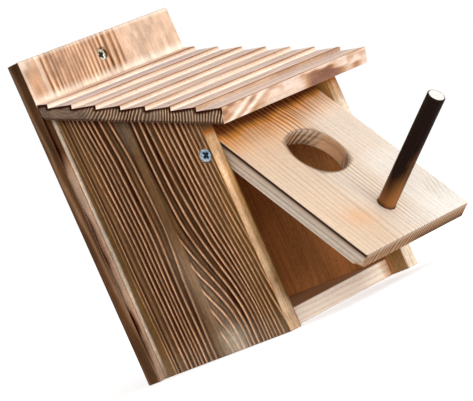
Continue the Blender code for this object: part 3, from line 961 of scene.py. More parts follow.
class Wood(Enum):
    """The finishes of the boards."""

    SIDE = WoodFinish(
        name="scorched_side_pine", patchiness=0.22, fleck_share=0.5, grit_share=0.22,
        bare=RingTones(tone(236, 196, 152), (
            (0.00, tone(214, 166, 116)), (0.16, tone(172, 118, 66)), (0.36, tone(222, 178, 128)),
            (0.60, tone(242, 204, 160)), (1.00, tone(214, 166, 116)))),
        charred=CHARRED, end=SCORCHED_END, amber=tone(230, 180, 120), pale=tone(240, 222, 198),
        warm=tone(136, 100, 50), inside=tone(208, 146, 88), wear=tone(176, 136, 94), wear_share=0.3,
        fibre_share=0.44, patch=tone(198, 148, 96), patch_share=0.25, relief=0.25)
    BACK = WoodFinish(
        name="scorched_back_pine",
        bare=RingTones(tone(200, 160, 130), (
            (0.00, tone(106, 60, 28)), (0.12, tone(84, 38, 12)), (0.27, tone(158, 112, 76)),
            (0.52, tone(248, 214, 182)), (0.74, tone(212, 168, 134)), (0.90, tone(160, 112, 76)),
            (1.00, tone(116, 70, 38)))),
        charred=RingTones(tone(100, 70, 46), CHARRED_STOPS), end=SCORCHED_END, amber=tone(236, 190, 140),
        pale=tone(246, 226, 206), warm=tone(196, 150, 118), inside=tone(212, 148, 92),
        wear=tone(232, 198, 166), wear_share=0.2, fibre_share=0.24, patch=tone(190, 142, 110),
        patch_share=0.4, patchiness=0.25, grit_share=0.14)
    ROOF = WoodFinish(
        name="lightly_scorched_roof_pine",
        bare=RingTones(tone(240, 214, 198), (
            (0.00, tone(224, 190, 164)), (0.15, tone(214, 180, 154)), (0.34, tone(238, 212, 196)),
            (0.70, tone(246, 222, 206)), (1.00, tone(224, 190, 164)))),
        charred=RingTones(tone(146, 102, 84), (
            (0.00, tone(130, 88, 70)), (0.40, tone(158, 114, 94)), (0.70, tone(140, 98, 82)),
            (1.00, tone(130, 88, 70)))),
        end=SCORCHED_END, amber=tone(212, 184, 152), pale=tone(250, 236, 218),
        warm=tone(200, 184, 184), inside=tone(180, 126, 84), wear=tone(240, 214, 190), wear_share=0.2,
        fibre_share=0.18, patch=tone(232, 202, 182), patch_share=0.35)
    PANEL = WoodFinish(
        name="scorched_panel_pine",
        bare=RingTones(tone(219, 195, 171), (
            (0.00, tone(124, 88, 60)), (0.10, tone(146, 108, 78)), (0.24, tone(212, 184, 156)),
            (0.55, tone(226, 204, 182)), (0.84, tone(212, 186, 160)), (1.00, tone(124, 88, 60)))),
        charred=RingTones(tone(120, 66, 34), (
            (0.00, tone(62, 18, 4)), (0.16, tone(84, 34, 12)), (0.40, tone(150, 92, 50)),
            (0.75, tone(128, 72, 38)), (1.00, tone(62, 18, 4)))),
        end=RingTones(tone(180, 140, 108), (
            (0.00, tone(60, 22, 4)), (0.18, tone(80, 38, 12)), (0.40, tone(222, 181, 142)),
            (0.80, tone(196, 153, 114)), (1.00, tone(60, 22, 4)))),
        amber=tone(255, 198, 114), pale=tone(238, 235, 229), warm=tone(230, 174, 128),
        inside=tone(204, 146, 94), wear=tone(236, 212, 184), wear_share=0.3, fibre_share=0.22,
        patch=tone(216, 184, 152), patch_share=0.35, patchiness=0.2)
    FLOOR = WoodFinish(
        name="pale_floor_pine",
        bare=RingTones(tone(250, 232, 214), PALE_STOPS), charred=CHARRED, end=PALE_END,
        amber=tone(228, 184, 136), pale=tone(250, 238, 224), warm=tone(206, 164, 128),
        inside=tone(204, 146, 94), wear=tone(244, 226, 204), wear_share=0.25, fibre_share=0.14,
        patch=tone(232, 202, 176), patch_share=0.3)


# Boards


@dataclass
class Board:
    """A sawn board: a closed grid with eased edges, holes and raised grain.

    A place in the board is (across the grain, through the thickness, along the grain).
    """

    name: str
    wood: Wood
    slot: str
    origin: Vector
    directions: tuple[Vector, Vector, Vector]
    size: tuple[float, float, float]
    grain: LogGrain | TracedGrain
    relief: float
    body: str = "box"
    steps: tuple[float, float, float] = (0.55 * MM, 0.8 * MM, 1.6 * MM)
    edge: float = 0.6 * MM
    holes: tuple[RoundHole, ...] = ()
    keep: tuple[tuple[float, ...], tuple[float, ...], tuple[float, ...]] = ((), (), ())

    def shape(self, grid: Array) -> Array:
        """Move the plain box's grid to the board's real shape; here it stays as it is."""
        return grid

    def unshape(self, place: Sequence[float]) -> Array:
        """Return the plain box's place for a place in the board; the reverse of shape."""
        return np.array(place, float)

    def marks(self, place: Array, facing: Array) -> dict[str, Array]:
        """Say how charred, pale, warm or hidden each point is.

        Args:
            place: Places in the board, in millimetres; not used here.
            facing: Normals in the board's own directions; not used here.

        Returns:
            Arrays by attribute name; what isn't named is zero.
        """
        return {}

    def smoothness(self, place: Array) -> Array:
        """Return where the grain isn't raised, from 0 to 1; here it is raised everywhere."""
        return np.zeros(len(place))

    def to_world(self, place: Array) -> Array:
        """Turn places in the board into places in the model."""
        return np.array(self.origin) + place @ np.array(self.directions)

    def rounded(self, grid: Array) -> Array:
        """Ease the box's edges.

        The part of a point beyond the inner box is scaled from a square to a circle: times its
        largest share over its length.

        Args:
            grid: Points of the plain box.

        Returns:
            The points with eased edges.
        """
        inner = np.clip(grid, self.edge, np.array(self.size) - self.edge)
        past = grid - inner
        length = np.linalg.norm(past, axis=1)
        largest = np.abs(past).max(axis=1)
        scale = np.where(length > 0, largest / np.where(length > 0, length, 1), 0)
        return inner + past * scale[:, None]

    def hole_patch(self, shell: Shell, hole: RoundHole, border: Array, flip: bool) -> None:
        """Join a square gap in the grid to a round hole and line it.

        Rings blend evenly from the square border to the rim, and then follow the hole's profile.

        Args:
            shell: Where the patch goes.
            hole: The hole.
            border: The gap's border points in the model.
            flip: Turn the faces round.
        """
        first, second = (self.directions[(hole.axis + turn) % 3] for turn in (1, 2))
        inward = np.array(self.directions[hole.axis]) * (-1 if hole.far else 1)
        centre = self.to_world(np.array(hole.centre)[None])[0]
        first, second = np.array(first), np.array(second)
        away = border - centre
        turn = np.arctan2(away @ second, away @ first)
        round_one = np.outer(np.cos(turn), first) + np.outer(np.sin(turn), second)
        rim = centre + hole.profile[0][0] * round_one
        count = max(int((hole.half - hole.profile[0][0]) / self.steps[0]), 1)
        rings = [border + (rim - border) * part / count for part in range(count)]
        rings += [centre + radius * round_one + depth * inward for radius, depth in hole.profile]
        shell.add_rings(rings, flip)
        if not hole.through:
            shell.add_fan(rings[-1], centre + hole.profile[-1][1] * inward, flip)

    def build_shell(self) -> Shell:
        """Build the six faces of the grid with their holes.

        Returns:
            The board's patches in the model's frame.
        """
        shell = Shell()
        keep: list[list[float]] = [list(values) for values in self.keep]
        placed = []
        for hole in self.holes:
            middle = self.unshape(hole.centre)
            placed.append((hole, middle))
            for turn in (1, 2):
                axis = (hole.axis + turn) % 3
                keep[axis] += [middle[axis] - hole.half, middle[axis] + hole.half]
        lines = [grid_lines(self.size[k], self.steps[k], self.edge, keep[k]) for k in range(3)]
        mirrored = self.directions[0].cross(self.directions[1]).dot(self.directions[2]) < 0
        for axis in range(3):
            first, second = (axis + 1) % 3, (axis + 2) % 3
            rows, columns = len(lines[first]), len(lines[second])
            number = np.arange(rows * columns).reshape(rows, columns)
            for far in (False, True):
                grid = np.zeros((rows, columns, 3))
                grid[..., axis] = self.size[axis] if far else 0.0
                grid[..., first] = lines[first][:, None]
                grid[..., second] = lines[second][None]
                points = self.to_world(self.shape(self.rounded(grid.reshape(-1, 3))))
                flip = far == mirrored
                open_cells = np.ones((rows - 1, columns - 1), bool)
                for hole, middle in placed:
                    if (hole.axis, hole.far) != (axis, far):
                        continue
                    low = [int(np.abs(lines[k] - (middle[k] - hole.half)).argmin()) for k in (first, second)]
                    top = [int(np.abs(lines[k] - (middle[k] + hole.half)).argmin()) for k in (first, second)]
                    open_cells[low[0]:top[0], low[1]:top[1]] = False
                    block = number[low[0]:top[0] + 1, low[1]:top[1] + 1]
                    loop = np.concatenate([block[:-1, 0], block[-1, :-1], block[:0:-1, -1], block[0, :0:-1]])
                    self.hole_patch(shell, hole, points[loop], flip)
                quads = np.stack([number[:-1, :-1], number[1:, :-1], number[1:, 1:], number[:-1, 1:]], -1)
                quads = quads[open_cells]
                shell.add(points, [quads[:, ::-1] if flip else quads])
        return shell

    def build(self, effects: Effects) -> None:
        """Build the board, raise its grain and dress it.

        Args:
            effects: The shared node groups.
        """
        mesh = self.build_shell().mesh(self.name + "_wood")
        points, normals = read_points(mesh)
        turned = np.array(self.directions).T
        place = (points - np.array(self.origin)) @ turned
        facing = normals @ turned
        rings, contrast = self.grain.at(place / MM)
        end_grain = smooth_step(0.55, 0.9, np.abs(facing[:, 2]))
        marks = self.marks(place / MM, facing)
        flat = np.abs(facing).max(axis=1)
        arris = smooth_step(0.985, 0.80, flat)
        depth = self.relief * contrast * (1 - 0.8 * end_grain) * (1 - ridge(rings)) * (1 - arris)
        depth *= (1 - 0.7 * marks.get("inside", np.zeros(1))) * (1 - self.smoothness(place / MM))
        write_points(mesh, points - normals * depth[:, None])
        values = {"ring_phase": rings, "ring_contrast": contrast, "end_grain": end_grain, "arris": arris,
                  "char": 0.0, "pale": 0.0, "warm": 0.0, "inside": 0.0, "soot_and_shade": 0.0, "lift": 0.0, **marks}
        for name, value in values.items():
            write_values(mesh, name, np.broadcast_to(value, len(points)))
        write_values(mesh, "grain_place", place)
        material = MATERIALS.wood(self.wood, effects)
        place_piece(mesh, material, self.body, [self.name])


class SideBoard(Board):
    """A side board, whose top follows the roof."""

    rear_top: float = 154.19 * MM
    fall: float = math.tan(ROOF_SLOPE)
    covered: tuple[tuple[float, float], ...] = ((15.2, 4.75), (69.4, 4.75))

    def top(self, across: Array) -> Array:
        """Return the board's height over its height at the rear: one less the roof's fall."""
        return 1 - (across - TOUCH_GAP) * self.fall / self.rear_top

    def shape(self, grid: Array) -> Array:
        """Lower the box's top to the slope, evenly down each upright line.

        Args:
            grid: Points of the plain box.

        Returns:
            Places in the board.
        """
        placed = grid.copy()
        placed[:, 0] += TOUCH_GAP
        placed[:, 2] *= self.top(placed[:, 0])
        return placed

    def unshape(self, place: Sequence[float]) -> Array:
        """Undo the slope."""
        across, through, along = place
        return np.array([across - TOUCH_GAP, through, along / self.top(across)])

    def smoothness(self, place: Array) -> Array:
        """Return where the wood was filled over a nail and sanded flat, from 0 to 1."""
        spots = [np.hypot(place[:, 0] - across, place[:, 2] - along) for across, along in self.covered]
        return smooth_step(4.0, 2.2, np.minimum(*spots)) * (place[:, 1] > 5.0)

    def marks(self, place: Array, facing: Array) -> dict[str, Array]:
        """Char the faces, leave the front edge bare and the rear edge's streak pale, and paint the roof's
        shadow on the faces and the front edge.

        Args:
            place: Places in the board, in millimetres.
            facing: Normals in the board's own directions.

        Returns:
            Arrays by attribute name.
        """
        noise = SmoothNoise(41)
        across, through, along = place.T
        front = smooth_step(0.55, 0.85, facing[:, 0])
        inner = smooth_step(-0.6, -0.9, facing[:, 1])
        roof = 154.3 - across * self.fall - along
        wave = noise(place, 0.05, 0.05, 0.03)
        right = float(self.directions[1].x > 0)
        # On the front edge the char rises near the roof: partly real char, partly painted shadow under the
        # roof.
        scorch = np.maximum(0.04 + 0.12 * bump(70.0, 30.0, along), smooth_step(12.0, 3.0, roof))
        char = (1 - front) + front * scorch
        streak = smooth_step(4.2, 1.8, across + 0.5 * wave) * smooth_step(-6.0, 24.0, along)
        streak *= 0.9 * (1 - front)
        foot = 0.28 * smooth_step(19.0, 3.0, along + 5 * wave) * (0.3 + bump(57.0, 9.0, across))
        arches = bump(60.0, 10.0, across + 0.25 * along) * smooth_step(80.0, 44.0, along)
        low = front * (right * (0.9 + 0.3 * wave) * smooth_step(108.0, 92.0, along)
                       + 0.3 * (1 - right) * smooth_step(22.0, 8.0, along))
        mid = smooth_step(108.0, 92.0, along) * smooth_step(6.0, 20.0, along)
        wavy = through + wave
        tan_line = front * mid * (0.6 * bump(3.2, 1.5, wavy) + 0.95 * smooth_step(2.6, 0.8, wavy))
        grey = bump(46.5, 4.0, across) * smooth_step(112.0, 132.0, along)
        olive = bump(6.4, 2.2, across)
        olive += 0.8 * bump(14.8 - 0.03 * (along - 122.0), 1.9, across) * bump(122.0, 17.0, along)
        olive += 0.7 * smooth_step(76.0, 92.0, across) * smooth_step(110.0, 60.0, along)
        # Painted shadow under the roof's overhang, darkest at the top of the faces; the dark char lines
        # worked out below are added to it.
        painted_shadow_and_char = smooth_step(7.0, 0.5, roof) * (1 - front)
        rings, contrast = self.grain.at(place)
        dark = bump(24.0, 8.0, across) * smooth_step(132.0, 96.0, along)
        dark += bump(79.0, 9.0, across + 0.08 * along) * (bump(92.0, 18.0, along) + bump(48.0, 16.0, along))
        dark += bump(92.0, 6.0, across) * bump(20.0, 16.0, along)
        dark = 0.8 * np.clip(dark + 0.4 * wave, 0, 1) * contrast * (1 - np.clip(1.6 * ridge(rings), 0, 1))
        dark += 1.5 * bump(1.35, 0.2, rings) + 0.8 * bump(15.72, 0.17, rings) * smooth_step(56.0, 66.0, along)
        painted_shadow_and_char = painted_shadow_and_char + dark * (1 - front) * (1 - inner)
        foot += 0.08 * arches + 0.12 * grey
        uneven = noise(place + 31.0, 0.4, 0.35, 0.05)
        lift = (1 - front) * (0.12 + 0.65 * arches + 0.2 * smooth_step(62.0, 80.0, across) - 0.2 * foot
                              + 0.35 * smooth_step(26.0, 8.0, along) * smooth_step(44.0, 30.0, across)
                              + 0.6 * inner * smooth_step(83.0, 86.0, across))
        lift += front * (0.12 * smooth_step(22.0, 8.0, along) + 0.3 * bump(90.0, 11.0, along) - 0.1 * mid)
        lift += 0.1 * wave - 0.35 * grey - 0.16 * front * bump(30.0, 9.0, along)
        lift += (1 - front) * (0.14 * streak + 0.12 * uneven)
        return {"char": np.clip(char - 0.7 * inner, 0, 1), "inside": inner * smooth_step(88.0, 83.0, across),
                "lift": lift, "ring_contrast": np.clip(contrast * (0.93 + 0.4 * uneven), 0, 1),
                "pale": np.clip((streak + foot) * (1 - front) + low
                                + 0.35 * front * mid * bump(6.8, 1.4, through), 0, 0.92),
                "warm": np.clip(tan_line * (1 - right) + 0.45 * olive * (1 - front) + 0.85 * inner, 0, 1),
                "soot_and_shade": np.clip(0.55 * painted_shadow_and_char + 0.4 * front * bump(0.3, 0.5, through), 0, 1)}


class BackBoard(Board):
    """The tall back board."""

    def marks(self, place: Array, facing: Array) -> dict[str, Array]:
        """Char the long edges and the strips beside the body, glow pale near the roof, and paint shadow under
        the roof and in the screw's countersink.

        Args:
            place: Places in the board, in millimetres.
            facing: Normals in the board's own directions.

        Returns:
            Arrays by attribute name.
        """
        noise = SmoothNoise(17)
        across, _, along = place.T
        screw_across, screw_up = 65.0, HANGER_UP / MM
        face = smooth_step(-0.6, -0.9, facing[:, 1])
        rear = smooth_step(0.6, 0.9, facing[:, 1])
        sides = smooth_step(0.5, 0.85, np.abs(facing[:, 0]))
        above = smooth_step(161.0, 163.0, along)
        wave = noise(place, 0.08, 0.08, 0.05)
        from_edge = np.minimum(across, 130.0 - across)
        strip = face * smooth_step(6.2, 5.4, from_edge) * (1 - above)
        spots = smooth_step(-0.2, 0.4, noise(place + 5.0, 0.12, 0.1, 0.05))
        low = (bump(76.0, 18.0, along) + bump(28.0, 16.0, along)) * (0.45 + 0.55 * spots)
        # Towards the roof the strips darken fully: partly real char, partly painted shadow under the roof.
        low = low * smooth_step(4.4, 2.8, from_edge + 0.5 * wave) + smooth_step(118.0, 136.0, along)
        ragged = smooth_step(1.9, 0.7, from_edge + 0.9 * noise(place + 21.0, 0.3, 0.3, 0.12))
        char = sides * 0.98 + rear * 0.85 + strip * (0.12 + 0.86 * low)
        glow = face * above * (smooth_step(168.0, 163.8, along) + 0.5 * smooth_step(186.2, 187.5, along))
        border = bump(14.2, 1.2, across + 0.6 * wave) + bump(1.0, 1.3, across)
        corner = bump(4.5, 4.0, across) * bump(185.0, 2.4, along)
        patch = bump(7.5, 4.6, across) * bump(174.0, 8.0, along)
        patch += 0.4 * bump(112.0, 4.0, across) * bump(184.0, 3.0, along)
        inside = face * (1 - above) * (1 - smooth_step(6.2, 5.4, from_edge))
        # Painted shadow of the countersink: a dark crescent on one side of the hanging screw's hole.
        rim = bump(3.65, 0.5, np.hypot(across - screw_across, along - screw_up)) * face
        rim *= smooth_step(-0.3, 0.8, ((across - screw_across) + (along - screw_up)) / 3.3)
        plain = 0.28 * smooth_step(76.0, 88.0, across + 2 * wave)
        _, contrast = self.grain.at(place)
        contrast = contrast * (1.15 + 0.5 * wave) + 0.25 * sides + 0.5 * rear
        lift = sides * (0.12 - 0.35 * smooth_step(110.0, 150.0, along)) + 0.15 * wave
        lift += (0.12 + 0.12 * above * face) * noise(place, 0.3, 0.3, 0.2) + 0.3 * plain * face * above
        return {"char": np.clip(char, 0, 1), "inside": inside,
                "pale": np.clip(0.85 * glow + above * face * (0.6 * border + 0.6 * corner + plain)
                                + 0.4 * strip * (1 - low), 0, 1),
                "warm": np.clip(above * face * 0.7 * patch + 0.3 * strip * (1 - low), 0, 1),
                "ring_contrast": np.clip(contrast, 0, 1.15), "lift": lift,
                "soot_and_shade": np.clip(strip * (0.8 * low * smooth_step(3.6, 1.6, from_edge + wave) + 0.6 * ragged)
                                + 0.9 * rim, 0, 1)}


class FloorBoard(Board):
    """The floor board."""

    def marks(self, place: Array, facing: Array) -> dict[str, Array]:
        """Darken the floor inside, and leave the front edge pale.

        Args:
            place: Places in the board, in millimetres.
            facing: Normals in the board's own directions.

        Returns:
            Arrays by attribute name.
        """
        inner = smooth_step(0.6, 0.9, facing[:, 1])
        front = smooth_step(0.5, 0.85, facing[:, 0])
        along = place[:, 2]
        return {"inside": 0.8 * inner * smooth_step(84.0, 80.0, place[:, 0]), "char": 0.08 * (1 - front),
                "warm": 0.7 * front * smooth_step(90.5, 95.0, along), "lift": 0.2 * front,
                "pale": 0.35 * front * (1 - smooth_step(90.5, 95.0, along))}


@dataclass
class RoofBoard(Board):
    """The roof board, whose top is cut into overlapping steps."""

    first_lip: float = 5.0 * MM
    step_length: float = 17.0 * MM
    drop: float = 2.4 * MM
    count: int = 8
    tip: float = 0.35 * MM
    tip_drop: float = 0.3 * MM
    drop_length: float = 0.1 * MM
    rear_shift: float = 4.0 * MM
    corner: float = 3.0 * MM

    def top(self, across: Array) -> Array:
        """Return the height of the stepped top over the full thickness.

        A tread rises evenly to the tip of its lip, which a quarter circle rounds, and then drops
        within a tenth of a millimetre to the next tread.

        Args:
            across: Distances down the slope.

        Returns:
            Heights as shares of the thickness.
        """
        thick = self.size[1]
        past = (across - self.first_lip - self.drop_length) % self.step_length
        height = thick - self.drop * (1 - past / self.step_length)
        from_lip = (across - self.first_lip + self.tip) % self.step_length
        over = np.clip(from_lip / self.tip, 0, 1) * (from_lip < self.tip * 1.0001)
        height -= self.tip_drop * (1 - np.sqrt(1 - over * over))
        falling = (across - self.first_lip) % self.step_length
        foot = thick - self.drop
        slope = np.clip(falling / self.drop_length, 0, 1)
        tip_height = thick - self.tip_drop
        height = np.where(falling < self.drop_length, tip_height + (foot - tip_height) * slope, height)
        last = across > self.first_lip + (self.count - 1.5) * self.step_length
        at_end = last & (falling < self.step_length / 2)
        return np.where(at_end, tip_height, height) / thick

    def shape(self, grid: Array) -> Array:
        """Cut the steps, lean the rear end upright and round its lower corner.

        Args:
            grid: Points of the plain box.

        Returns:
            Places in the board.
        """
        across, through, along = grid.T
        height = through * self.top(across)
        lean = TOUCH_GAP / math.cos(ROOF_SLOPE) - height * math.tan(ROOF_SLOPE)
        near = np.clip(1 - across / self.rear_shift, 0, 1)
        past = np.stack([across - self.corner, height - self.corner], -1)
        past = np.minimum(past, 0)
        length = np.linalg.norm(past, axis=1)
        scale = np.where(length > 0, np.abs(past).max(axis=1) / np.where(length > 0, length, 1), 1)
        both = (across < self.corner) & (height < self.corner)
        across = np.where(both, self.corner + past[:, 0] * scale, across)
        height = np.where(both, self.corner + past[:, 1] * scale, height)
        return np.stack([across + lean * near, height, along], -1)

    def marks(self, place: Array, facing: Array) -> dict[str, Array]:
        """Brown the tips of the steps, grey their hollows, and lay blotches along the front.

        Args:
            place: Places in the board, in millimetres.
            facing: Normals in the board's own directions.

        Returns:
            Arrays by attribute name.
        """
        noise = SmoothNoise(29)
        across, through, along = place.T
        up = smooth_step(0.5, 0.8, facing[:, 1])
        down = smooth_step(-0.5, -0.9, facing[:, 1])
        front = smooth_step(0.6, 0.9, facing[:, 0]) * smooth_step(122.0, 123.0, across)
        ends = smooth_step(0.5, 0.8, np.abs(facing[:, 2]))
        lip = smooth_step(0.5, 0.8, facing[:, 0]) * (1 - front)
        first, step = 5.1, 17.0
        tread = ((across - first) % step) / step
        wave = noise(place, 0.06, 0.05, 0.05)
        fine = noise(place + 11.0, 0.2, 0.3, 0.16)
        streaky = noise(place + 4.0, 0.8, 0.8, 0.03)
        number = np.floor((across - first) / step)
        luck = noise(np.stack([number * 3.7 + 0.5, number * 5.3, along * 0.02], -1), 1.0)
        thin = noise(place + 40.0, 0.9, 0.9, 0.02)
        band = bump(0.26 + 0.04 * luck, 0.08, tread) + 0.6 * bump(0.5 + 0.12 * luck, 0.045, tread)
        hollow = up * band * (0.66 + 0.3 * wave + 0.6 * luck) + 0.3 * up * smooth_step(0.0, 0.5, streaky)
        hollow += 0.6 * up * bump(13.0, 4.0, across)
        tip = up * smooth_step(0.85, 0.94, tread) * np.clip(0.62 + 0.4 * wave + 0.6 * luck, 0.15, 1)
        tip += 0.3 * up * smooth_step(0.15, 0.45, thin)
        over = smooth_step(7.5, 8.2, through)
        tip += lip * (0.5 * over * (1 + 0.6 * wave + 0.6 * luck) + 0.06 * fine)
        ragged = through - 1.1 * fine
        blotches = ((80.0, 8.0, 7.6, 0.8), (91.0, 9.0, 6.6, 0.9), (103.0, 8.0, 4.2, 0.7),
                    (120.0, 4.5, 3.2, 0.55))
        blotch = sum(strength * bump(middle, wide, along) * smooth_step(top + 0.7, top - 0.4, ragged)
                     for middle, wide, top, strength in blotches)
        strokes = smooth_step(50.0, 38.0, along) * sum(
            bump(0.0, 1.3, (along - middle) * 0.42 - (through - 4.5) * 0.9) for middle in (15.0, 27.0))
        tan_spots = 0.75 * smooth_step(46.0, 32.0, along) * (1 - np.clip(strokes, 0, 1)) * (0.6 + 0.5 * fine)
        tan_spots += 0.35 * smooth_step(0.0, 0.5, fine) * smooth_step(3.0, 7.0, through)
        edge = 9.0 - 2.4 * (1 - tread) - through
        outline = smooth_step(2.1, 1.1, edge + 0.4 * fine) + 0.7 * smooth_step(1.6, 0.7, through)
        outline += smooth_step(0.87, 0.92, tread) * smooth_step(4.4, 3.0, edge)
        outline = ends * np.clip(outline, 0, 0.96)
        uneven = noise(place + 17.0, 0.075, 0.02, 0.02)
        contrast = 0.82 + 0.26 * smooth_step(78.0, 92.0, across) + 0.7 * uneven
        contrast *= smooth_step(24.0, 40.0, across)
        lift = up * (0.09 - 0.34 * smooth_step(0.85, 0.94, tread) - 0.11 * band
                     - 0.12 * smooth_step(0.0, 0.5, -thin))
        lift += ends * (0.3 * fine + 0.2 * noise(place + 3.0, 0.9, 0.9, 0.2) + 0.12
                        + 0.15 * smooth_step(60.0, 90.0, across))
        lift -= 0.12 * front * blotch
        return {"char": np.clip(0.75 * down + front * np.clip(blotch + tan_spots, 0, 0.95) + tip, 0, 1),
                "warm": np.clip(hollow + 0.3 * ends * smooth_step(22.0, 12.0, across), 0, 1),
                "pale": np.clip(0.8 * lip * (1 - over) + 0.7 * front * np.clip(strokes, 0, 1)
                                + 0.4 * up * smooth_step(0.07, 0.0, tread), 0, 1),
                "soot_and_shade": outline, "inside": 0.6 * down * smooth_step(96.0, 90.0, across),
                "lift": lift,
                "ring_contrast": np.where(ends > 0.5, np.clip(contrast, 0.12, 1), 0.6)}


class FrontPanel(Board):
    """The front panel with its entrance hole, matched edge and broken corner."""

    groove: tuple[tuple[float, float, float], ...] = ((0.95, 0.5, 0.5), (5.9, 0.8, 0.35), (8.1, 0.45, 0.22))

    def shape(self, grid: Array) -> Array:
        """Sink the grooves of the left edge and break its lower rear corner off.

        A groove's depth is a bell round its place in the thickness. The corner beyond a slanting
        plane is moved back on to the plane.

        Args:
            grid: Points of the plain box.

        Returns:
            Places in the board.
        """
        placed = grid.copy()
        depth = sum(sunk * bump(at, width, grid[:, 1] / MM) for at, width, sunk in self.groove)
        placed[:, 0] += depth * MM * smooth_step(1.4 * MM, 0.2 * MM, grid[:, 0])
        outward = np.array([-0.80, 0.52, -0.30])
        outward /= np.linalg.norm(outward)
        corner = np.array([0.0, 3.4, 0.0]) * MM
        rough = 0.25 * MM * SmoothNoise(8)(grid / MM, 0.9, 0.9, 0.5)
        reach = (placed - corner) @ outward - 0.55 * MM + rough
        near = (grid[:, 2] < 3.6 * MM) & (grid[:, 0] < 5.5 * MM) & (grid[:, 1] > 2.5 * MM)
        placed -= np.outer(np.where(near, np.clip(reach, 0, 4 * MM), 0), outward)
        return placed

    def marks(self, place: Array, facing: Array) -> dict[str, Array]:
        """Scorch the top, place the peach patch and the white glow, and paint shade as the edge's groove line
        and grey bands and on the foot's rear half.

        Args:
            place: Places in the board, in millimetres.
            facing: Normals in the board's own directions.

        Returns:
            Arrays by attribute name.
        """
        noise = SmoothNoise(53)
        across, through, along = place.T
        face = smooth_step(-0.6, -0.9, facing[:, 1])
        rear = smooth_step(0.6, 0.9, facing[:, 1])
        foot = smooth_step(-0.5, -0.8, facing[:, 2])
        wave = noise(place, 0.09, 0.05, 0.04)
        streaky = noise(place + 9.0, 0.7, 0.3, 0.03)
        down = 116.7 - along
        middle = bump(52.0, 14.0, across)
        heat = smooth_step(33.0, 12.0, down + 3.0 * streaky) * (
            0.66 + 0.24 * middle + 0.2 * bump(4.0, 12.0, across) + 0.36 * bump(74.0, 8.0, across))
        heat *= 1 - 0.3 * smooth_step(66.0, 90.0, across)
        burnt = 14.0 + 2.5 * streaky + 2.0 * wave + 3.2 * smooth_step(62.0, 30.0, across)
        char = face * (0.42 * heat + 0.08 * smooth_step(54.0, 24.0, down) * smooth_step(72.0, 40.0, across)
                       + 0.8 * smooth_step(burnt, 6.0, down))
        edge_on = smooth_step(1.7, 1.0, across) * smooth_step(0.2, 0.5, through) * (1 - rear)
        # Painted shade in the edge's groove, just behind the face's arris.
        groove = edge_on * bump(1.15, 1.2, through)
        peach = 0.504 * face * bump(24.0, 13.0, across + 0.4 * (along - 24.0)) * bump(22.0, 8.0, along)
        glow = face * (0.3 * smooth_step(57.0, 74.0, across + 4 * wave) * smooth_step(106.0, 84.0, along)
                       + 0.26 * smooth_step(24.0, 40.0, across) * smooth_step(62.0, 48.0, along)
                       + 0.2 * smooth_step(36.0, 56.0, across) * smooth_step(20.0, 6.0, along))
        strokes = 1.7 * face * smooth_step(80.0, 84.0, across) * bump(19.0, 8.0, along)
        strokes *= smooth_step(-0.2, 1.0, np.sin((across - 0.5 * along) * 1.9))
        # Painted shade in the shallow grooves of the matched edge: grey bands.
        bands = bump(5.7, 0.7, through) + 0.8 * bump(8.2, 0.5, through) + 0.25 * bump(3.4, 1.0, through)
        bands *= edge_on
        hole_across, hole_up = 48.1, HOLE_UP / MM
        hole = np.hypot(across - hole_across, along - hole_up)
        wall = smooth_step(18.4, 17.8, hole) * (1 - face) * (1 - rear)
        rim = 1.7 * bump(0.0, 0.5, hole - 17.7) * (face + rear) + 0.5 * wall * bump(3.2, 0.6, through + wave)
        # Painted shade on the rear half of the foot, stronger towards the right.
        under = foot * smooth_step(4.6, 8.4, through) * (1.1 * smooth_step(36.0, 60.0, across + 6 * wave))
        chip = smooth_step(0.2, 0.5, -facing[:, 2]) * smooth_step(0.2, 0.4, -facing[:, 0]) * (along < 6.0)
        rings, contrast = self.grain.at(place)
        apart = np.minimum(rings % 1, 1 - rings % 1)
        seared = face * np.exp(-((apart / 0.13) ** 2)) * smooth_step(32.0, 13.0, down + 4.0 * streaky)
        seared *= 0.3 + 0.5 * middle + 0.6 * bump(75.5, 4.0, across) + 0.7 * bump(62.5, 4.0, across)
        striped = wall * smooth_step(7.0, 11.0, np.abs(along - hole_up))
        contrast = contrast * (0.5 + 0.75 * middle) * (1 - 0.3 * foot) * (1 - wall) + 0.3 * heat * face
        contrast += striped + 0.25 * wall + 0.4 * foot
        lift = 0.5 * heat + bump(21.0, 7.0, down) * (
            0.16 * bump(47.0, 9.0, across) + 0.22 * smooth_step(66.0, 84.0, across))
        lift = face * (smooth_step(7.0, 14.0, down) * lift - 0.03
                       + 0.045 * smooth_step(62.0, 34.0, along) * smooth_step(60.0, 34.0, across))
        lift += foot * (0.1 * smooth_step(5.0, 2.0, through)
                        + 0.12 * smooth_step(5.0, 8.0, through) * smooth_step(48.0, 30.0, across))
        lift -= 0.04 * wall
        sawn = foot * (1 - 0.24 * smooth_step(4.6, 1.4, through))
        return {"char": np.clip(char + 0.5 * chip, 0, 1), "end_grain": np.maximum(sawn, 0.85 * striped),
                "lift": lift,
                "warm": np.clip(peach + 0.4 * foot * smooth_step(2.0, 0.4, through) + 0.85 * wall, 0, 1),
                "pale": np.clip(glow + 0.9 * foot * smooth_step(4.6, 1.4, through)
                                + 0.25 * edge_on * smooth_step(2.8, 4.4, through), 0, 1),
                "inside": 0.75 * rear,
                "soot_and_shade": np.clip(groove + 0.3 * bands + 0.5 * rim + 0.5 * under + 0.16 * strokes
                                + 0.8 * seared, 0, 1),
                "ring_contrast": np.clip(contrast, 0, 1.1)}


class Materials:
    """Materials that are made once and shared by pieces."""

    def __init__(self) -> None:
        """Start with no materials."""
        self.made: dict[str, Material] = {}

    def wood(self, wood: Wood, effects: Effects) -> Material:
        """Return the material of a board finish.

        Args:
            wood: The finish.
            effects: The shared node groups.

        Returns:
            Its material.
        """
        if wood.name not in self.made:
            self.made[wood.name] = wood.value.material(effects)
        return self.made[wood.name]


MATERIALS = Materials()


# Perch, screws and nails


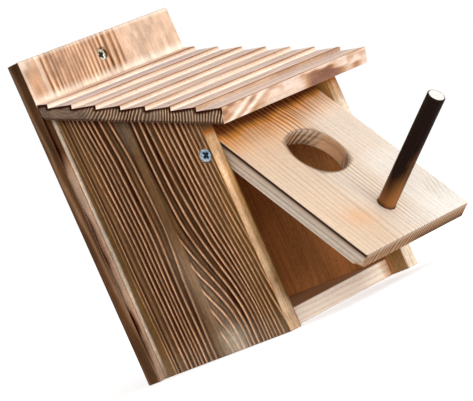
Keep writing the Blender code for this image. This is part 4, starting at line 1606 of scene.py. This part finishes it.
@dataclass(frozen=True)
class DowelFinish:
    """A dark stained dowel, lighter at its foot and bare at its sawn end, with painted shade on two sides and
    round its foot.
    """

    name: str = "dark_stained_dowel"
    dark: Colour = tone(36, 16, 8)
    streak: Colour = tone(12, 4, 1)
    foot: Colour = tone(166, 108, 58)
    bare: Colour = tone(232, 227, 219)

    def material(self, effects: Effects) -> Material:
        """Build the material from the dowel's marks for dark staining with painted shade, and for its bare
        end.

        Args:
            effects: The shared node groups.

        Returns:
            The material.
        """
        material, tree, shader = new_material(self.name)
        place = tree.read("grain_place", vector=True)
        fibres = tree.use(effects.fibres, place=place)
        clouds = tree.use(effects.blotches, place=place)
        dark = tree.mix(fibres["Fibre"], self.streak, self.dark)
        # The char mark holds the dowel's staining together with its painted shade.
        stain_and_shade = tree.math("ADD", tree.read("char"), tree.math("MULTIPLY", clouds["Patch"], 0.18))
        stain_and_shade = tree.math("ADD", stain_and_shade, tree.math("MULTIPLY", fibres["Fibre"], -0.22), clamp=True)
        colour = tree.mix(stain_and_shade, self.foot, dark)
        colour = tree.mix(tree.read("pale"), colour, self.bare)
        grey = tree.span(fibres["Fibre"], 0.0, 1.0, 0.74, 1.1)
        rough = tree.span(fibres["Fibre"], 0.0, 1.0, 0.62, 0.42)
        tree.fill(shader, base_color=tree.shaded(colour, grey), roughness=rough)
        shader.inputs["Specular IOR Level"].default_value = 0.08
        tree.emboss(shader, fibres["Fibre"], 0.5, 0.1 * MM)
        return material


@dataclass(frozen=True)
class MetalFinish:
    """Plated or bare steel of a fastener."""

    name: str
    bright: Colour
    dull: Colour
    rough: tuple[float, float]
    recess_shade: Colour = tone(24, 40, 56)

    def material(self) -> Material:
        """Build the material: bright plating, duller in soft spots, with painted shade in the cross recess.

        Returns:
            The material.
        """
        material, tree, shader = new_material(self.name)
        place = tree.node("ShaderNodeTexCoord").outputs["Object"]
        spots = tree.span(tree.noise(place, 900.0, 4.0, 0.6), 0.35, 0.65, 0.0, 1.0)
        scratches = tree.noise(tree.scaled(place, (5200.0, 700.0, 5200.0)), 1.0, 2.0)
        recess = tree.read("recess")
        plating = tree.mix(spots, self.bright, self.dull)
        low, high = self.rough
        rough = tree.span(scratches, 0.3, 0.7, low, high)
        rough = tree.math("ADD", rough, tree.math("MULTIPLY", recess, 0.3))
        tree.fill(shader, base_color=tree.mix(recess, plating, self.recess_shade), roughness=rough,
                  metallic=tree.span(recess, 0.0, 1.0, 1.0, 0.3))
        tree.emboss(shader, scratches, 0.3, 0.03 * MM)
        return material


class Metal(Enum):
    """The finishes of the fasteners."""

    ZINC = MetalFinish("bright_zinc_plate", tone(204, 222, 232), tone(122, 156, 178), (0.22, 0.42))
    CREAM_ZINC = MetalFinish("cream_zinc_plate", tone(240, 236, 214), tone(196, 190, 164), (0.25, 0.45))
    STEEL = MetalFinish("dull_wire_steel", tone(120, 112, 104), tone(74, 60, 50), (0.4, 0.65))


@dataclass(frozen=True)
class Turned:
    """A closed turned mesh: rings of points about an axis, from one end to the other."""

    origin: Vector
    outward: Vector
    sides: int

    def basis(self) -> Array:
        """Return the axis's own X, Y and Z directions as rows."""
        turned = self.outward.to_track_quat("Z", "Y").to_matrix()
        return np.array(turned.transposed())

    def mesh(self, name: str, radii: Array, heights: Array) -> Mesh:
        """Turn a grid of radii and heights about the axis and close both ends.

        Args:
            name: The mesh's name.
            radii: Radius for each ring and angle.
            heights: Height for each ring and angle, falling from the outer end.

        Returns:
            The mesh in the model's frame.
        """
        turn = np.arange(self.sides) * math.tau / self.sides
        levels = np.broadcast_to(heights, radii.shape)
        local = np.stack([radii * np.cos(turn), radii * np.sin(turn), levels], -1)
        rings = np.array(self.origin) + local @ self.basis()
        shell = Shell()
        shell.add_rings(list(rings), True)
        for ring, flip in ((rings[0], False), (rings[-1], True)):
            shell.add_fan(ring, ring.mean(axis=0), flip)
        return shell.mesh(name)


@dataclass
class Perch:
    """The dowel that stands square to the front panel."""

    origin: Vector
    outward: Vector
    radius: float = 5.0 * MM
    reach: float = 71.4 * MM
    buried: float = 7.7 * MM
    chamfer: float = 0.5 * MM
    sides: int = 96

    def build(self, effects: Effects) -> None:
        """Turn the dowel with slight fibre ridges, and mark its dark staining, its painted shade and its bare
        end.

        Args:
            effects: The shared node groups.
        """
        length = self.reach + self.buried
        heights = np.concatenate([
            np.zeros(8), [-0.12 * MM, -0.3 * MM, -self.chamfer], -np.arange(1.5, length / MM - 0.6, 0.9) * MM,
            [self.chamfer - length, -length]])
        radii = np.full(len(heights), self.radius)
        radii[:8] = (self.radius - self.chamfer) * np.arange(1, 9) / 8
        radii[8:10] = [self.radius - 0.32 * MM, self.radius - 0.12 * MM]
        radii[-1] -= self.chamfer
        turn = np.arange(self.sides) * math.tau / self.sides
        grid = np.stack(np.broadcast_arrays(
            np.cos(turn)[None] * radii[:, None], np.sin(turn)[None] * radii[:, None], heights[:, None]), -1)
        noise = SmoothNoise(71)
        ridges = noise(grid.reshape(-1, 3) / MM, 1.7, 1.7, 0.05).reshape(grid.shape[:2])
        side = smooth_step(-0.1 * MM, -1.0 * MM, heights)[:, None]
        radii = radii[:, None] - 0.06 * MM * (1 - ridges) * side
        heights = heights[:, None] + 0.05 * MM * ridges * (1 - side) * (heights[:, None] > -0.05 * MM)
        turned = Turned(self.origin + self.outward * self.reach, self.outward, self.sides)
        mesh = turned.mesh("perch", radii, heights)
        points, _ = read_points(mesh)
        place = (points - np.array(turned.origin)) @ turned.basis().T
        down = -place[:, 2]
        across = np.hypot(place[:, 0], place[:, 1])
        wave = noise(place / MM, 0.25, 0.25, 0.06)
        from_tip = down / MM + 7 * wave
        stain_and_shade = 0.22 + 0.55 * smooth_step(67.0, 46.0, from_tip) + 0.35 * smooth_step(50.0, 16.0, from_tip)
        # Painted contact shadow: a dark ring where the dowel meets the panel.
        stain_and_shade += 0.5 * bump(71.4, 1.3, down / MM)
        # Painted shade: two opposite sides of the dowel are darker, as where it turns away from the light.
        stain_and_shade += 0.24 * smooth_step(0.5, 0.9, np.abs(place[:, 0]) / self.radius + 0.25 * wave)
        end = smooth_step(0.20 * MM, 0.08 * MM, down) * smooth_step(4.45 * MM, 4.1 * MM, across)
        write_values(mesh, "char", stain_and_shade)
        write_values(mesh, "pale", end)
        write_values(mesh, "grain_place", place)
        place_piece(mesh, DowelFinish().material(effects), "front", ["perch_dowel"])


@dataclass
class CrossScrew:
    """A countersunk wood screw with a cross recess and a thread."""

    node: str
    body: str
    origin: Vector
    outward: Vector
    head: float
    shank: float
    length: float
    turn: float
    sides: int = 72

    def head_top(self, across: Array, angle: Array) -> Array:
        """Return the height of the head's face: flat, with a cross sunk into it.

        The cross is where the smaller of the two distances from its arms' lines is under half
        an arm's width and the larger is under an arm's length; its walls slope.

        Args:
            across: Radii.
            angle: Angles.

        Returns:
            Heights below the head's rim.
        """
        side = np.abs(across * np.cos(angle - self.turn))
        other = np.abs(across * np.sin(angle - self.turn))
        arm = self.head * 0.11
        reach = self.head * 0.31
        past = np.maximum(np.minimum(side, other) - arm, np.maximum(side, other) - reach)
        sunk = smooth_step(0.10 * self.head, -0.055 * self.head, past + 0.05 * self.head)
        return -0.2 * self.head * sunk - 0.1 * self.head * bump(0.0, 0.16 * self.head, across)

    def build(self, material: Material) -> None:
        """Build head, cone, thread and tip as one grid of rings and angles.

        The thread's radius goes up by a bell at each place where height over pitch, less the
        angle's share of a turn, is a whole number.

        Args:
            material: The plating.
        """
        angle = np.arange(self.sides) * math.tau / self.sides
        top = self.head / 2 * np.linspace(0.02, 1.0, 30) ** 0.9
        cone = np.linspace(0, 1, 7)[1:]
        neck = 0.4 * MM + (self.head - self.shank) / 2
        down = np.arange(neck + 0.2 * MM, self.length - 1.2 * self.shank, 0.22 * MM)
        tip = np.linspace(self.length - 1.2 * self.shank, self.length, 10)
        point = self.shank / 2 * np.linspace(1, 0.05, 10)
        radii = np.concatenate([top, [self.head / 2], self.head / 2 - (self.head - self.shank) / 2 * cone,
                                np.full(len(down), self.shank / 2), point])
        depths = np.concatenate([np.zeros(30), [0.3 * MM], 0.4 * MM + (neck - 0.4 * MM) * cone, down, tip])
        radii, depths = radii[:, None] + 0 * angle, depths[:, None] + 0 * angle
        face = np.arange(len(radii))[:, None] < 30
        depths = depths - np.where(face, self.head_top(radii, angle), 0)
        pitch = 0.45 * self.shank
        winding = depths / pitch - angle / math.tau
        apart = np.abs(winding - np.round(winding))
        threaded = smooth_step(neck + 0.8 * MM, neck + 2.0 * MM, depths) * ~face
        radii = radii * (1 - 0.24 * threaded * (1 - np.exp(-((apart / 0.16) ** 2))))
        turned = Turned(self.origin, self.outward, self.sides)
        mesh = turned.mesh(self.node + "_threaded", radii, -depths)
        points, _ = read_points(mesh)
        place = (points - np.array(self.origin)) @ turned.basis().T / self.head
        from_axis = np.hypot(place[:, 0], place[:, 1])
        # Marks the cross recess, where the plating is painted dark as shade.
        recess = smooth_step(0.02, 0.09, -place[:, 2]) * smooth_step(0.42, 0.38, from_axis)
        write_values(mesh, "recess", recess * (place[:, 2] > -0.33))
        place_piece(mesh, material, self.body, [self.node])


# Studio


@dataclass
class Studio:
    """Pale floor, soft lamps and the camera."""

    camera_place: tuple[float, float, float] = (-1.17973, -1.03754, 0.09804)
    azimuth: float = 48.7713
    elevation: float = 0.9439
    roll: float = -23.9759
    focal_pixels: float = 2883.62
    frame_width: float = 473.0
    sensor: float = 36.0

    def add_camera(self) -> None:
        """Stand the camera at the photograph's viewing angle, turned about its own line of sight."""
        azimuth, elevation, roll = (math.radians(v) for v in (self.azimuth, self.elevation, self.roll))
        back = Vector((-math.sin(azimuth) * math.cos(elevation), -math.cos(azimuth) * math.cos(elevation),
                       math.sin(elevation)))
        level = (-back).cross(Vector((0, 0, 1))).normalized()
        upright = back.cross(level)
        right = math.cos(roll) * level + math.sin(roll) * upright
        up = math.cos(roll) * upright - math.sin(roll) * level
        data = bpy.data.cameras.new("camera")
        data.sensor_width = self.sensor
        data.lens = self.focal_pixels / self.frame_width * self.sensor
        data.clip_start = 0.05
        data.clip_end = 60.0
        camera = bpy.data.objects.new("camera", data)
        matrix = Matrix((right, up, back)).transposed().to_4x4()
        matrix.translation = Vector(self.camera_place)
        camera.matrix_world = matrix
        bpy.context.scene.collection.objects.link(camera)
        bpy.context.scene.camera = camera

    def add_floor(self) -> None:
        """Lay a white floor that reads as white to the camera and still takes the box's shadow."""
        side = 24.0
        mesh = bpy.data.meshes.new("studio_floor")
        height = -0.05 * MM
        corners = [(x, y, height) for x, y in ((-side, -side), (side, -side), (side, side), (-side, side))]
        mesh.from_pydata(corners, [], [(0, 1, 2, 3)])
        material, tree, shader = new_material("studio_white")
        shader.inputs["Specular IOR Level"].default_value = 0.0
        seen = tree.node("ShaderNodeLightPath").outputs["Is Camera Ray"]
        tree.fill(shader, base_color=(0.86, 0.86, 0.86), roughness=1.0, emission_color=(1.0, 1.0, 1.0),
                  emission_strength=tree.math("MULTIPLY", seen, 0.6))
        mesh.materials.append(material)
        floor = bpy.data.objects.new("studio_floor", mesh)
        bpy.context.scene.collection.objects.link(floor)

    def add_lamp(self, name: str, place: Sequence[float], size: float, power: float) -> None:
        """Hang a square soft lamp that looks at the box's middle.

        Args:
            name: The lamp's name.
            place: Where it hangs.
            size: The length of its side.
            power: Its power in watts.
        """
        data = bpy.data.lights.new(name, "AREA")
        data.size = size
        data.energy = power
        lamp = bpy.data.objects.new(name, data)
        lamp.location = place
        lamp.rotation_euler = (Vector((0.0, 0.0, 0.09)) - Vector(place)).to_track_quat("-Z", "Y").to_euler()
        bpy.context.scene.collection.objects.link(lamp)

    def add_world(self) -> None:
        """Fill the room with even light, and show white to the camera and in reflections."""
        world = bpy.data.worlds.new("studio_world")
        world.use_nodes = True
        tree = Tree(world.node_tree)
        background = world.node_tree.nodes["Background"]
        path = tree.node("ShaderNodeLightPath")
        seen = tree.math("ADD", path.outputs["Is Camera Ray"], path.outputs["Is Glossy Ray"])
        seen = tree.math("ADD", seen, path.outputs["Is Transmission Ray"], clamp=True)
        tree.feed(background.inputs["Strength"], tree.span(seen, 0.0, 1.0, 0.50, 1.0))
        background.inputs["Color"].default_value = (1.0, 1.0, 1.0, 1.0)
        bpy.context.scene.world = world

    def build(self) -> None:
        """Set up the whole studio."""
        self.add_camera()
        self.add_floor()
        self.add_world()
        self.add_lamp("key_lamp", (0.5, -1.5, 1.3), 1.0, 17.5)
        self.add_lamp("fill_lamp", (-1.3, -1.15, 0.25), 0.7, 11.0)
        self.add_lamp("front_lamp", (0.25, -1.7, 0.14), 0.6, 9.5)
        bpy.context.scene.view_settings.view_transform = "Standard"


# The nest box


@dataclass
class NestBox:
    """All the pieces of the box, in the order that they are put together."""

    side_outer: float = 59.7 * MM
    side_inner: float = 50.2 * MM
    side_thickness: float = 9.5 * MM
    side_depth: float = 96.4 * MM
    back_half: float = 65.0 * MM
    back_height: float = 188.0 * MM
    back_thickness: float = 8.5 * MM
    floor_front: float = 84.6 * MM
    floor_thickness: float = 9.5 * MM
    roof_length: float = 124.0 * MM
    roof_thickness: float = 9.0 * MM
    panel_half: float = 48.1 * MM
    panel_thickness: float = 9.8 * MM
    panel_length: float = 116.413 * MM
    perch_up: float = 22.5 * MM
    hole_radius: float = 17.5 * MM
    nail_shares: tuple[float, ...] = (0.16, 0.48, 0.80)
    floor_nail_share: float = 0.56
    effects: Effects = field(default_factory=Effects)

    def back_board(self) -> None:
        """Build the back board, with the hanging screw's hole and its nails' holes in the rear face."""
        middle = self.back_half
        thick = self.back_thickness
        countersink = ((3.6 * MM, 0.0), (3.55 * MM, 0.25 * MM), (3.55 * MM, 1.9 * MM), (1.9 * MM, 3.25 * MM),
                       (1.9 * MM, 4.25 * MM))
        bore = ((1.9 * MM, 0.0), (1.9 * MM, 4.25 * MM))
        holes = [RoundHole(1, False, (middle, 0.0, HANGER_UP), 4.4 * MM, countersink, True),
                 RoundHole(1, True, (middle, thick, HANGER_UP), 4.4 * MM, bore, True)]
        side_middle = (self.side_outer + self.side_inner) / 2
        for hand in (-1, 1):
            for share in self.nail_shares:
                centre = (middle + hand * side_middle, thick, ROOF_REAR_HEIGHT * share)
                holes.append(nail_hole(1, True, centre))
            across = middle + hand * self.side_inner * self.floor_nail_share
            holes.append(nail_hole(1, True, (across, thick, self.floor_thickness / 2)))
        leaning = tuple((x - 3.0, x) for x in BACK_LINES)
        board = BackBoard(
            name="back_board", wood=Wood.BACK, slot="peach_pine", origin=Vector((-middle, BACK_FACE_Y, 0)),
            directions=(Vector((1, 0, 0)), Vector((0, 1, 0)), Vector((0, 0, 1))),
            size=(2 * middle, thick, self.back_height), relief=0.12 * MM, holes=tuple(holes),
            steps=(0.6 * MM, 0.8 * MM, 1.9 * MM),
            grain=TracedGrain((0.0, 188.0), leaning, BACK_STRENGTHS, seed=5, slant=0.3, wander=0.5))
        board.build(self.effects)

    def side_board(self, hand: int) -> None:
        """Build one side board with the pivot screw's countersunk hole.

        Args:
            hand: -1 for the left side, 1 for the right one.
        """
        thick = self.side_thickness
        pivot = (BACK_FACE_Y - PIVOT.y, thick, PIVOT.z)
        bore = ((2.15 * MM, 0.0), (2.15 * MM, thick / 2))
        sink = ((4.1 * MM, 0.0), (4.0 * MM, 0.12 * MM), (4.0 * MM, 1.0 * MM), (2.15 * MM, 2.85 * MM), bore[1])
        holes = [RoundHole(1, True, pivot, 4.45 * MM, sink, True),
                 RoundHole(1, False, (pivot[0], 0.0, pivot[2]), 4.45 * MM, bore, True)]
        arches = TracedGrain(SIDE_HEIGHTS, SIDE_LINES, SIDE_STRENGTHS, seed=12, strip=(44.8, 50.9),
                             widest=3.6)
        plain = LogGrain(heart=(38.0, -34.0), spacing=2.9, seed=31, wander=0.5, taper=0.10, contrast=0.9,
                         widest=4.2)
        board = SideBoard(
            name="left_side" if hand < 0 else "right_side", wood=Wood.SIDE, slot="charred_pine",
            origin=Vector((hand * self.side_inner, BACK_FACE_Y, 0)),
            directions=(Vector((0, -1, 0)), Vector((hand, 0, 0)), Vector((0, 0, 1))),
            size=(self.side_depth - TOUCH_GAP, thick, SideBoard.rear_top), relief=0.32 * MM,
            grain=arches if hand < 0 else plain, holes=tuple(holes))
        board.build(self.effects)

    def floor_board(self) -> None:
        """Build the floor board."""
        half = self.side_inner - TOUCH_GAP
        board = FloorBoard(
            name="floor_board", wood=Wood.FLOOR, slot="pale_pine",
            origin=Vector((-half, BACK_FACE_Y - TOUCH_GAP, 0)),
            directions=(Vector((0, -1, 0)), Vector((0, 0, 1)), Vector((1, 0, 0))),
            size=(self.floor_front - TOUCH_GAP, self.floor_thickness, 2 * half), relief=0.08 * MM,
            steps=(0.8 * MM, 0.8 * MM, 1.8 * MM),
            grain=LogGrain(heart=(60.0, 30.0), spacing=2.2, seed=61, contrast=0.6))
        board.build(self.effects)

    def roof_board(self) -> None:
        """Build the roof board, with close grid lines at the lips of its steps."""
        sine, cosine = math.sin(ROOF_SLOPE), math.cos(ROOF_SLOPE)
        lips = [RoofBoard.first_lip + RoofBoard.step_length * number for number in range(RoofBoard.count - 1)]
        close = tuple(lip + shift * MM for lip in lips for shift in (-0.35, -0.2, -0.08, 0.0, 0.1))
        board = RoofBoard(
            name="roof_board", wood=Wood.ROOF, slot="roof_pine",
            origin=Vector((-self.back_half, BACK_FACE_Y, ROOF_REAR_HEIGHT)),
            directions=(Vector((0, -cosine, -sine)), Vector((0, -sine, cosine)), Vector((1, 0, 0))),
            size=(self.roof_length, self.roof_thickness, 2 * self.back_half), relief=0.10 * MM, edge=0.4 * MM,
            keep=(close, (), ()), steps=(0.62 * MM, 0.6 * MM, 1.7 * MM),
            grain=LogGrain(heart=(17.0, 24.0), spacing=1.95, seed=23, wander=0.9))
        board.build(self.effects)

    def front_panel(self) -> None:
        """Build the front panel with its entrance hole, perch socket and screw holes."""
        sine, cosine = math.sin(OPEN_ANGLE), math.cos(OPEN_ANGLE)
        through, up = Vector((0, cosine, -sine)), Vector((0, sine, cosine))
        thick = self.panel_thickness
        pivot_up = PIVOT.z - TOUCH_GAP
        foot = PIVOT - through * (thick / 2) - up * pivot_up
        middle = self.panel_half
        radius = self.hole_radius
        wall = ((radius + 0.45 * MM, 0.0), (radius + 0.12 * MM, 0.12 * MM), (radius, 0.45 * MM),
                *((radius, depth * MM) for depth in (1.2, 2.0, 2.8, 3.6, 4.3, 4.9)))
        socket = ((5.3 * MM, 0.0), (5.25 * MM, 0.1 * MM), (5.25 * MM, 5.0 * MM))
        pilot = ((2.05 * MM, 0.0), (2.05 * MM, 6.0 * MM))
        holes = (
            RoundHole(1, False, (middle, 0.0, HOLE_UP), 19.8 * MM, wall, True),
            RoundHole(1, True, (middle, thick, HOLE_UP), 19.8 * MM, wall, True),
            RoundHole(1, False, (middle, 0.0, self.perch_up), 7.0 * MM, socket),
            RoundHole(0, False, (0.0, thick / 2, pivot_up), 3.0 * MM, pilot),
            RoundHole(0, True, (2 * middle, thick / 2, pivot_up), 3.0 * MM, pilot))
        board = FrontPanel(
            name="front_panel", wood=Wood.PANEL, slot="pale_pine", body="front",
            origin=foot - Vector((middle, 0, 0)),
            directions=(Vector((1, 0, 0)), through, up), size=(2 * middle, thick, self.panel_length),
            relief=0.10 * MM, holes=holes, steps=(0.5 * MM, 0.27 * MM, 1.4 * MM),
            grain=TracedGrain(PANEL_HEIGHTS, PANEL_LINES, PANEL_STRENGTHS, seed=43, slant=0.39, wander=0.35))
        board.build(self.effects)

    def perch(self) -> None:
        """Build the perch, square to the panel."""
        sine, cosine = math.sin(OPEN_ANGLE), math.cos(OPEN_ANGLE)
        outward, up = Vector((0, -cosine, sine)), Vector((0, sine, cosine))
        foot = PIVOT + outward * (self.panel_thickness / 2) - up * (PIVOT.z - TOUCH_GAP - self.perch_up)
        Perch(foot, outward).build(self.effects)

    def fasteners(self) -> None:
        """Build the three screws and give the nails their steel."""
        zinc = Metal.ZINC.value.material()
        steel = Metal.STEEL.value.material()
        hanger = CrossScrew(
            "hanging_screw", "box", Vector((0, BACK_FACE_Y + 1.1 * MM, HANGER_UP)), Vector((0, -1, 0)),
            head=6.9 * MM, shank=3.0 * MM, length=6.9 * MM, turn=0.35)
        hanger.build(Metal.CREAM_ZINC.value.material())
        for side_name, hand, turn in (("left", -1, 0.5), ("right", 1, 0.2)):
            origin = PIVOT + Vector((hand * (self.side_outer - 0.2 * MM), 0, 0))
            screw = CrossScrew(f"pivot_screw_{side_name}", "front", origin, Vector((hand, 0, 0)),
                               head=7.2 * MM, shank=3.5 * MM, length=25.0 * MM, turn=turn)
            screw.build(zinc)
        for name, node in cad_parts.items():
            if "_nail_" in name:
                node.data.materials.clear()
                node.data.materials.append(steel)
                LOG.info("%s: steel", name)

    def build(self) -> None:
        """Put the box together."""
        self.back_board()
        for hand in (-1, 1):
            self.side_board(hand)
        self.floor_board()
        self.roof_board()
        self.front_panel()
        self.perch()
        self.fasteners()


def main() -> None:
    """Build the studio and the box, and report each piece."""
    logging.basicConfig(level=logging.INFO, format="%(name)s %(message)s")
    Studio().build()
    NestBox().build()


if __name__ == "__main__":
    main()
